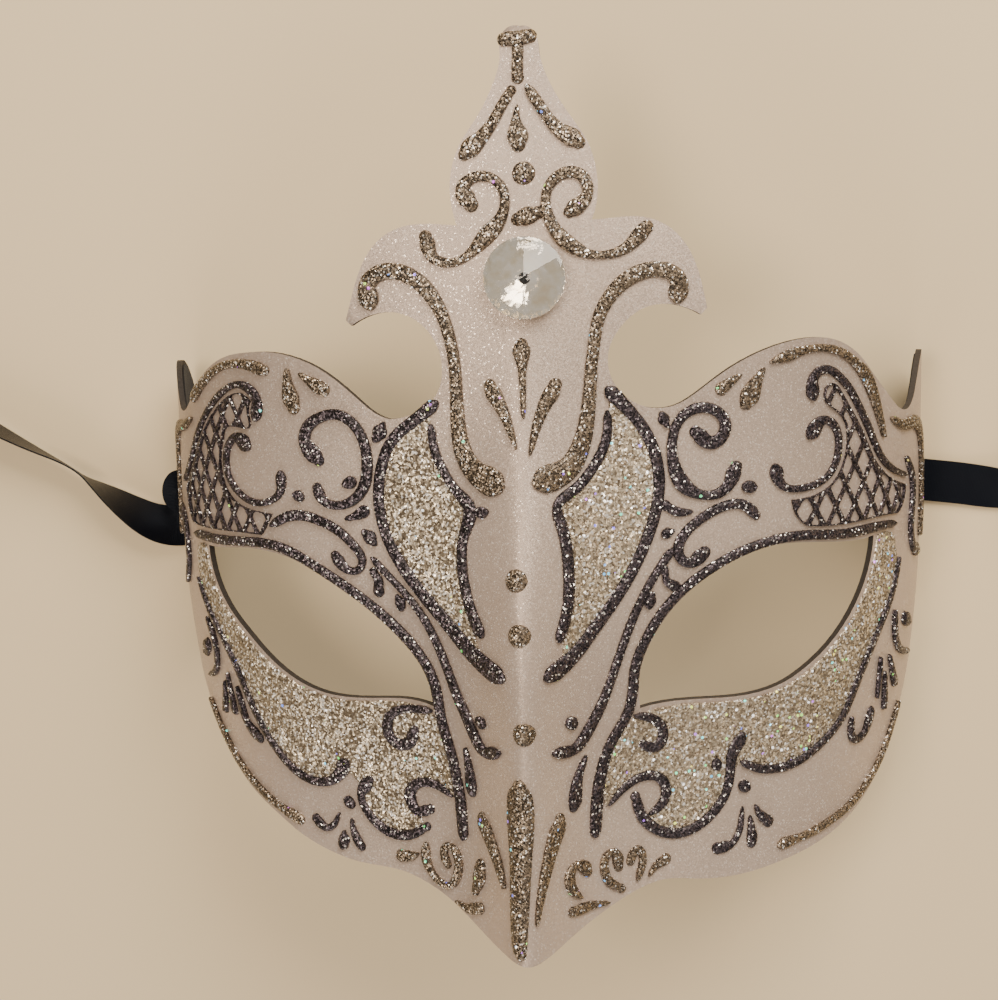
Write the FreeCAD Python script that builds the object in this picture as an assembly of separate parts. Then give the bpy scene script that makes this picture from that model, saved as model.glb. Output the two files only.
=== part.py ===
import FreeCAD, Part
import math
import os

# Venetian half mask, worn on the eyes: a curved shell with a fleur crest, raised line work,
# glitter panels, a glued crystal and two tie ribbons. Millimetres and degrees.
# s is the arc length sideways from the centre ridge, negative on the viewer's left.
# z is the height up the mask from the nose tip, before the mask is leaned back.

V = FreeCAD.Vector
os.makedirs("parts", exist_ok=True)

# Driving dimensions
half_arc = 124.0          # ridge to rear edge of a temple, along the surface
wrap_angle = 98.0         # how far a temple turns back by its rear edge
wrap_power = 1.62         # how late that turn comes
chin_taper = 7.5          # how much each side narrows at the lower edge
nose_rise = 21.0          # height of the ridge at the nose
nose_height = 20.0        # where the ridge stands highest
nose_spread = 70.0        # how far the nose ridge reaches up and down
brow_rise = 3.0           # height of the ridge at the brow
brow_fade = 45.0          # how fast that fades in the crest
ridge_width = 12.0        # how wide the ridge is
ridge_round = 4.2         # how blunt its top is
lean_slope = 0.19         # how far the mask leans back per millimetre of height
eye_dip = 4.5             # hollow at the eyes
eye_level = 65.0
eye_spread = 30.0
shell_wall = 1.3
lining_wall = 0.3
lining_inset = 1.0        # bare edge around the lining
glue_line = 0.12          # between any two pieces that are glued flat
film_wall = 0.18          # glitter film of the petals and cheeks
bead_height = 0.62        # raised glitter lines
bead_edge = 0.5           # share of that height at a bead's edge
bead_share = 0.92         # CAD bead width as a share of the drawn width
crystal_radius = 8.3
crystal_crown = 2.3       # girdle to point
crystal_girdle = 0.8
crystal_back = 1.7        # girdle to flat back
crystal_back_radius = 5.6
crystal_facets = 16
crystal_seat = 0.5        # glue pad under the foil
foil_wall = 0.15
ribbon_width = 10.0
ribbon_wall = 0.3
ribbon_lift = 0.15        # ribbon above the floor where it leaves a temple
ribbon_fold = 1.5         # bend radius there
ribbon_glued = 13.0       # glued length inside a temple
ribbon_past = 1.4         # ribbon past the widest part of the mask before it is free
ribbon_clear = 0.35       # so that a slanting ribbon meets its root edge to edge
patch_wall = 0.7
patch_margin = 3.0        # patch beyond the ribbon's edges
coil_radius = 38.0        # middle of a put-away coil
coil_lead = 30.0          # straight ribbon before it joins its coil
tie_wall = 0.8
tie_width = 4.0
tie_gap = 0.3

bead_floor = glue_line + film_wall + glue_line
lining_floor = -shell_wall - glue_line - lining_wall


# The skin: a plan curve that turns in towards the temples, with a ridge down the middle

def plan_table(steps=400, beyond=1.08):
    rows = [(0.0, 0.0)]
    step = half_arc * beyond / steps
    for i in range(steps):
        turn = math.radians(wrap_angle) * ((i + 0.5) * step / half_arc) ** wrap_power
        x, y = rows[-1]
        rows.append((x + step * math.cos(turn), y + step * math.sin(turn)))
    return step, rows


plan_step, plan_rows = plan_table()
drawn_arc = 124.0         # the half arc that the outlines and lines below are drawn for


def plan(arc):
    place = min(arc / plan_step, len(plan_rows) - 1.001)
    i = int(place)
    a, b = plan_rows[i], plan_rows[i + 1]
    part = place - i
    return a[0] + part * (b[0] - a[0]), a[1] + part * (b[1] - a[1])


def skin(s, z):
    x, y = plan(abs(s) * half_arc / drawn_arc)
    low = max(0.0, (75 - z) / 75)
    x = math.copysign(x, s) * (1 - chin_taper / 88 * low * low)
    rise = nose_rise * math.exp(-((z - nose_height) / nose_spread) ** 2)
    rise += brow_rise * math.exp(-(max(0.0, z - 75) / brow_fade) ** 2)
    away = math.hypot(s, ridge_round) - ridge_round
    y += lean_slope * z - eye_dip * math.exp(-((z - eye_level) / eye_spread) ** 2)
    y += rise * (1 - math.exp(-away / ridge_width))
    return V(x, y, z)


def normal(s, z, h=0.05):
    across = skin(s + h, z) - skin(s - h, z)
    up = skin(s, z + h) - skin(s, z - h)
    return across.cross(up).normalize()


def on(s, z, off):
    """A point above the skin, or inside it where off is negative."""
    return skin(s, z) + normal(s, z) * off


# Surfaces whose own parameters are s and z

def solve(rows, rights):
    n = len(rows)
    a = [row[:] + right[:] for row, right in zip(rows, rights)]
    for i in range(n):
        best = max(range(i, n), key=lambda k: abs(a[k][i]))
        a[i], a[best] = a[best], a[i]
        for k in range(i + 1, n):
            f = a[k][i] / a[i][i]
            if f:
                a[k] = [p - f * q for p, q in zip(a[k], a[i])]
    for i in range(n - 1, -1, -1):
        a[i] = [p / a[i][i] for p in a[i]]
        for k in range(i):
            f = a[k][i]
            if f:
                a[k] = [p - f * q for p, q in zip(a[k], a[i])]
    return [row[n:] for row in a]


def cubic_basis(knots, count, t):
    t = min(max(t, knots[3]), knots[count] - 1e-9)
    values = [1.0 if knots[i] <= t < knots[i + 1] else 0.0 for i in range(len(knots) - 1)]
    for degree in (1, 2, 3):
        fresh = []
        for i in range(len(knots) - 1 - degree):
            left = knots[i + degree] - knots[i]
            right = knots[i + degree + 1] - knots[i + 1]
            value = 0.0
            if left:
                value += (t - knots[i]) / left * values[i]
            if right:
                value += (knots[i + degree + 1] - t) / right * values[i + 1]
            fresh.append(value)
        values = fresh
    return values[:count]


def grid_axis(breaks):
    knots = [breaks[0]] * 3 + breaks + [breaks[-1]] * 3
    count = len(knots) - 4
    sites = [sum(knots[i + 1:i + 4]) / 3 for i in range(count)]
    rows = [cubic_basis(knots, count, site) for site in sites]
    return count, sites, rows


ridge_breaks = [0, 1, 2, 3.2, 4.6, 6.5, 9, 12, 16, 21, 27, 34, 42, 51, 60, 70, 80, 90, 100, 110, 120]
side_breaks = ridge_breaks[1:] + [drawn_arc * 1.06]
s_breaks = [-b for b in reversed(side_breaks)] + [0] + side_breaks
z_breaks = [-4 + 8 * k for k in range(25)]
s_axis = grid_axis([float(b) for b in s_breaks])
z_axis = grid_axis([float(b) for b in z_breaks])
surfaces = {}


def surface(off):
    if off not in surfaces:
        count_s, sites_s, rows_s = s_axis
        count_z, sites_z, rows_z = z_axis
        points = [[on(s, z, off) for z in sites_z] for s in sites_s]
        rights = [[c for p in line for c in (p.x, p.y, p.z)] for line in points]
        half = solve(rows_s, rights)
        flipped = [[half[i][3 * j + k] for i in range(count_s) for k in range(3)]
                   for j in range(count_z)]
        full = solve(rows_z, flipped)
        poles = [[V(*full[j][3 * i:3 * i + 3]) for j in range(count_z)] for i in range(count_s)]
        made = Part.BSplineSurface()
        s_counts = [4] + [1] * (len(s_breaks) - 2) + [4]
        z_counts = [4] + [1] * (len(z_breaks) - 2) + [4]
        made.buildFromPolesMultsKnots(poles, s_counts, z_counts, s_breaks, z_breaks,
                                      False, False, 3, 3)
        surfaces[off] = made
    return surfaces[off]


def closed_solid(faces):
    shell = Part.makeShell(faces)
    shell.sewShape(0.002)
    solid = Part.makeSolid(shell if shell.ShapeType == "Shell" else shell.Shells[0])
    if solid.Volume < 0:
        solid.reverse()
    return solid


# Plates: a shape drawn in s and z, between two heights above the skin

def drawn_edges(loop, base):
    edges = []
    for run in loop:
        points = [FreeCAD.Base.Vector2d(*p) for p in run]
        if len(points) == 2:
            line = Part.Geom2d.Line2dSegment(points[0], points[1])
        else:
            line = Part.Geom2d.BSplineCurve2d()
            line.interpolate(points)
        edges.append(line.toShape(base))
    return edges


def plate(loops, low, high):
    faces = []
    drawn = {}
    for off in (low, high):
        base = surface(off)
        drawn[off] = [drawn_edges(loop, base) for loop in loops]
        wires = [Part.Wire(edges) for edges in drawn[off]]
        face = Part.Face(base, wires[0])
        if len(wires) > 1:
            face.cutHoles(wires[1:])
        face.validate()
        faces.append(face)
    for below, above in zip(drawn[low], drawn[high]):
        for first, second in zip(below, above):
            faces.append(Part.makeRuledSurface(first, second))
    return closed_solid(faces)


def inset(loop, depth):
    """Every run of a counter-clockwise loop moved in by depth, its corners mitred."""
    sides = []
    for run in loop:
        moved = []
        for k, (s, z) in enumerate(run):
            a, b = run[max(k - 1, 0)], run[min(k + 1, len(run) - 1)]
            long = math.dist(a, b)
            moved.append((s, z, -(b[1] - a[1]) / long, (b[0] - a[0]) / long))
        sides.append(moved)
    result = []
    for k, side in enumerate(sides):
        before, after = sides[k - 1][-1], sides[(k + 1) % len(sides)][0]
        line = [(s + depth * ns, z + depth * nz) for s, z, ns, nz in side]
        for place, other in ((0, before), (-1, after)):
            s, z, ns, nz = side[place]
            blend = 1 + ns * other[2] + nz * other[3]
            line[place] = (s + depth * (ns + other[2]) / blend,
                           z + depth * (nz + other[3]) / blend)
        result.append(line)
    return result


# Outline of the shell, counter-clockwise seen from the front, cut by hand so its sides differ

crest_right = [(14.2, 146.9), (14.9, 148.8), (15.5, 153), (15, 158), (13.3, 162.8), (10.5, 167),
               (7.5, 171.5), (5, 176.5), (3.9, 180.5), (3.5, 183.2), (2.4, 185), (0, 185.6)]
crest_left = [(0, 185.6), (-3, 185), (-4.1, 183.2), (-4.1, 180), (-4.9, 176), (-6.8, 171.5),
              (-9.3, 167.2), (-12.2, 163), (-14, 158.5), (-14.6, 153.5), (-14, 149), (-13.2, 146.3)]
hook_top_left = [(-13.2, 146.3), (-18, 146.7), (-23.5, 146.5), (-28.5, 144.6), (-32.8, 140),
                 (-35.4, 134), (-37.4, 127.3)]
hook_end_left = [(-37.4, 127.3), (-36.2, 126.2)]
hook_under_left = [(-36.2, 126.2), (-32, 128.3), (-27, 129), (-22.5, 127.6), (-19, 124.4),
                   (-17, 120), (-16.8, 116), (-18, 112.3), (-20.5, 109.6), (-24, 107.8),
                   (-28.3, 107)]
brow_left = [(-28.3, 107), (-31, 107.9), (-35, 110.8), (-40, 114.7), (-45, 117.6), (-50, 119.3),
             (-56, 120.2), (-62, 120), (-68, 119.2), (-74, 117.3), (-79, 114.6), (-84, 110.8),
             (-88, 107.3), (-92.5, 104.6), (-96.5, 104.6), (-100, 107.2), (-103, 111),
             (-107, 113.6), (-112, 114), (-117, 111.8), (-120.8, 107.6), (-123.2, 102.4),
             (-123.9, 97.5)]
rear_left = [(-123.9, 97.5), (-123.1, 86), (-122.8, 76), (-123.1, 65), (-123.8, 54)]
under_left = [(-123.8, 54), (-122.8, 49.6), (-119.4, 46.8), (-113.5, 45.8), (-107, 44.4),
              (-101, 41), (-95, 35.5), (-89.5, 30),
              (-84, 24.8), (-78, 20.6), (-72, 17.6), (-66, 15.3), (-60, 12.8), (-54, 10.9),
              (-48, 9.6), (-42, 8.9), (-36, 8.9), (-30, 8.6), (-25, 7.4), (-20, 5.6), (-14, 2.6),
              (-8, 0), (-3, -1.1), (1.5, -1.4)]
under_right = [(1.5, -1.4), (5, -0.8), (10, 1.2), (15, 3.3), (20, 5.3), (25, 7), (30, 7.8),
               (37, 7), (44, 6.4), (52, 6.7), (60, 7.7), (68, 9.1), (76, 11.3), (84, 14.8),
               (91, 19.8), (97, 26.5), (102, 33), (107, 39.2), (113, 43.8), (119.4, 46.6),
               (122.8, 49.6), (123.8, 54)]
rear_right = [(123.8, 54), (123.1, 65), (122.8, 76), (123.1, 86), (123.9, 97.5)]
brow_right = [(123.9, 97.5), (123.2, 102.4), (120.8, 107.6), (117, 111.8), (112, 114),
              (107, 113.2), (103, 110.2), (100, 106.4),
              (96.8, 103.6), (92.8, 102.8), (88.5, 104.4), (84, 107.9), (80, 111.3), (76, 115.3),
              (71, 118.9), (66, 120.8), (60, 121.3), (52, 120.1), (46, 118), (41, 115.4),
              (36, 112), (31, 109.2), (27.3, 108.7)]
hook_under_right = [(27.3, 108.7), (24, 109.3), (20.6, 111.4), (18.3, 114.3), (17.2, 117.8),
                    (17.6, 121.5), (19.8, 125.3), (23.3, 128.4), (27.5, 129.7), (32, 129.2),
                    (36.3, 127.3)]
hook_end_right = [(36.3, 127.3), (37.6, 128.6)]
hook_top_right = [(37.6, 128.6), (36, 135.5), (33.5, 141.2), (29.5, 145.3), (24.5, 147.2),
                  (19, 147.2), (14.2, 146.9)]
outline = [crest_right, crest_left, hook_top_left, hook_end_left, hook_under_left, brow_left,
           rear_left, under_left, under_right, rear_right, brow_right, hook_under_right, hook_end_right, hook_top_right]

eye_left = [
    [(-20.6, 46.4), (-20.8, 50), (-22.3, 54), (-25.6, 58.6), (-30.5, 63.4), (-36, 67.6),
     (-42, 71.2), (-48.5, 74.6), (-55, 76.6), (-62, 77.2), (-70, 76.6), (-76, 75.8),
     (-80.6, 75.6)],
    [(-80.6, 75.6), (-79.6, 71), (-76.6, 65.6), (-72.5, 61.2), (-67.5, 57.2), (-62.5, 53.2),
     (-58, 50.2), (-53, 47.8), (-47.5, 46.3), (-41, 45.9), (-34, 46.5), (-27, 47.2),
     (-20.6, 46.4)],
]
eye_right = [
    [(23.3, 45.8), (30, 46.5), (37, 46.3), (44, 46), (50.5, 46.5), (56, 48), (61, 50.6),
     (66.5, 54.5), (71.5, 59.5), (75.8, 65.6), (78.6, 72), (79.6, 77.2)],
    [(79.6, 77.2), (75, 77), (68, 77.5), (60, 78.4), (52, 78.6), (45, 77), (39, 74.2),
     (33.5, 70.4), (29, 65.8), (25.6, 60.5), (23.6, 55.5), (23, 50), (23.3, 45.8)],
]


# Raised lines: each is a list of (s, z, width) along its middle

silver = {
    "silver_crest_tip": [
        [(-2.5, 183.1, 3.2), (-0.6, 183.2, 2.8), (1.4, 183.4, 3.2)],
        [(-0.4, 180.6, 2.4), (-0.5, 178, 2.4), (-0.5, 175.8, 2.6)],
        [(-2, 172.6, 2.2), (-3.8, 169.8, 2.2), (-5.6, 166.6, 2.4), (-7.8, 163.8, 3),
         (-10.6, 161.3, 4.6)],
        [(1.6, 173.2, 2.2), (3.6, 170.2, 2.4), (5.6, 167.2, 2.4), (8, 164.6, 3.2),
         (10.8, 163, 4.4)],
        [(-0.6, 169.6, 1), (-0.9, 166.8, 2), (-0.5, 163.6, 5)],
    ],
    "silver_scroll_left": [
        [(-10.8, 151.4, 4.2), (-12.2, 153.2, 3.4), (-10.8, 155.2, 2.4), (-8, 156.1, 2.2),
         (-5.2, 155.2, 2.2), (-3.4, 152.8, 2.2), (-3.2, 150.2, 2), (-4.2, 147.2, 2.8),
         (-6.6, 144.6, 4), (-9.2, 141.8, 2.6), (-12, 139.5, 1.7), (-15.6, 138.8, 2),
         (-18.4, 140, 2.6), (-19.4, 143.4, 3.6)],
    ],
    "silver_scroll_right": [
        [(10.6, 149.2, 4), (12.9, 150.8, 2.8), (13.5, 153.6, 2.4), (11.4, 156.3, 2.6),
         (8, 156, 2.4), (5.6, 153.8, 2.2), (4.9, 150.8, 2), (5.5, 147.6, 2.4), (7.2, 144.4, 3),
         (10, 141.8, 3.4), (14, 139.9, 1.8), (18.4, 140, 2), (21.8, 141.6, 2.6),
         (24.6, 144.6, 3.6)],
        [(0.2, 147.6, 3.6), (1.6, 148, 3.8), (2.8, 148.3, 3)],
    ],
    "silver_hook_left": [
        [(-32, 131.4, 5), (-32.3, 134.6, 4), (-29.8, 136.9, 3.6), (-26, 137.3, 3.6),
         (-22, 135.6, 3.6), (-18.7, 132.4, 3.4), (-16.4, 128.4, 2.8), (-15, 124, 2.6),
         (-14, 118.5, 2.6), (-13.7, 112.5, 2.8), (-13.4, 106.5, 3.2), (-12.5, 101, 4),
         (-10, 97, 5), (-6.2, 94.9, 6.6)],
    ],
    "silver_hook_right": [
        [(31.5, 131.6, 4.6), (31.6, 134.6, 3.8), (28.8, 136.5, 3.4), (25, 136.5, 3.4),
         (21, 134.8, 3.4), (17.7, 131.6, 3), (15.6, 128, 2.8), (14.6, 123.5, 2.6),
         (13.9, 118.5, 2.6), (13.4, 112.5, 2.8), (12.7, 106.5, 3.4), (11.2, 101, 4.2),
         (8.6, 97.2, 5.2), (4.4, 95.6, 6.2)],
    ],
    "silver_fleur": [
        [(-0.1, 121.4, 4.4), (0, 118.6, 2.2), (0.1, 114, 1.4), (0.2, 108, 1)],
        [(-6.3, 113.4, 3.8), (-4.4, 110.2, 2.8), (-2.7, 106.4, 1.8), (-1.3, 102, 1)],
        [(6.2, 113.4, 3.8), (4.3, 110.2, 2.8), (2.7, 106, 2), (1.5, 100.8, 1)],
    ],
    "silver_dots": [
        [(-0.4, 156.5, 3.6), (0.6, 156.7, 4.2), (1.6, 156.5, 3.6)],
        [(-2.4, 76.4, 4), (-1.3, 76.6, 5), (-0.2, 76.4, 4)],
        [(-1.8, 65.5, 4), (-0.7, 65.3, 5), (0.4, 65.5, 4)],
        [(-1.1, 45.6, 4), (0, 45.5, 5), (1.1, 45.7, 4)],
    ],
    "silver_nose": [
        [(-1, 33.6, 5), (-1, 30, 5.6), (-1, 22, 4.8), (-1.2, 14, 4.2), (-1.4, 7, 3.8),
         (-1.4, 1.6, 3.2)],
        [(-9.8, 24.2, 3.2), (-8, 20.8, 2.8), (-6.2, 17, 2.2), (-4.9, 13.2, 1.2)],
        [(6.4, 25.2, 3.4), (5, 21, 2.8), (3.8, 16.6, 2.2), (2.7, 11.6, 1.4), (2, 7, 0.9)],
    ],
    "silver_chin_left": [
        [(-30.2, 12, 2.8), (-28.2, 12.2, 2.2), (-26.6, 12.9, 1)],
        [(-24.3, 15.2, 1.8), (-24.6, 12.6, 2.6), (-23.6, 10.2, 1.8), (-21.6, 8.2, 1.7),
         (-19.2, 7.6, 1.7), (-17.1, 9.6, 1.8), (-16.2, 13, 2), (-17, 15.8, 2), (-18.9, 16.5, 1.8),
         (-20.1, 14.6, 1.8), (-19.3, 12.6, 2.4)],
        [(-10.9, 14, 2.6), (-11.3, 11.4, 2.8), (-12.4, 8.6, 1.2)],
        [(-11.8, 5.6, 2.6), (-14, 4.6, 2), (-17, 5.2, 0.9)],
    ],
    "silver_chin_right": [
        [(12, 13.6, 3), (10.8, 15.8, 2), (8.8, 15, 2.2), (8.6, 12.4, 2), (9.6, 9.8, 1.6),
         (11, 8.4, 1)],
        [(10, 6, 2.6), (13, 6, 2), (17, 5.4, 0.9)],
        [(19, 12.8, 2.8), (18.3, 15.8, 2), (16.3, 15.6, 1.8), (15.9, 12.4, 1.8), (17.4, 9.2, 1.8),
         (20, 7.6, 1.8)],
        [(22, 13.2, 2.4), (22.5, 15.8, 1.8), (24, 14.8, 1.7), (24.5, 11.8, 1.8), (23.6, 9, 1.6)],
        [(26.2, 9.2, 0.9), (27.6, 11, 1.8), (29.6, 11.8, 2.4)],
    ],
    "silver_brow_left": [
        [(-84.5, 108.6, 2.8), (-80.5, 111.6, 2.4), (-76, 114.4, 2), (-71, 116.6, 1.8),
         (-66, 117.4, 2), (-62, 117.2, 2.6), (-58.6, 116.4, 3.2)],
        [(-50.9, 110.2, 4.6), (-51.7, 113, 3), (-51.8, 116.4, 1.6)],
        [(-43.9, 113.2, 3.6), (-46, 114.4, 2.2), (-48.4, 115.8, 1.2)],
    ],
    "silver_brow_right": [
        [(51.6, 117, 1.4), (54.8, 117.9, 2.6), (59, 118.9, 1.8), (64, 119, 1.6), (69, 117.6, 1.8),
         (73, 115, 2.2), (76, 112.2, 3.2), (78.6, 108, 3), (80.6, 103.6, 2.2), (82.6, 98.6, 1.4)],
        [(46.4, 110, 4.8), (47.8, 112.8, 3), (49.4, 115.4, 1.4)],
        [(40.9, 112.3, 2.6), (42.6, 113.6, 1.8), (44.4, 114.6, 1)],
    ],
    "silver_temple_left": [
        [(-87, 103.4, 1.4), (-92, 101.4, 2.4), (-98, 100.4, 3), (-103.4, 97, 3),
         (-106.6, 90, 2.6), (-107.4, 82, 2), (-106.2, 74, 1.2)],
    ],
    "silver_temple_right": [
        [(86, 101.8, 1.4), (91, 99.8, 2.4), (98, 99.6, 3), (103.6, 97, 3.2), (107, 90, 3),
         (107.8, 82, 2.6), (106.6, 73, 2)],
    ],
    "silver_cheek_left": [
        [(-58.6, 15.6, 3.2), (-62.4, 16.5, 2.2), (-66.6, 17.8, 2), (-71, 19.6, 2),
         (-76, 22.2, 2), (-81, 25.6, 2), (-86, 30, 2), (-91.6, 35.6, 1.6)],
    ],
    "silver_cheek_right": [
        [(58.2, 11.2, 3), (62.4, 11.6, 1.8), (67.6, 12.3, 2), (73, 13.6, 1.8), (78, 15, 2),
         (83.4, 17.6, 2), (88.6, 21.2, 2), (93.4, 26.2, 2), (98, 33.4, 1.6)],
    ],
}

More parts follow.
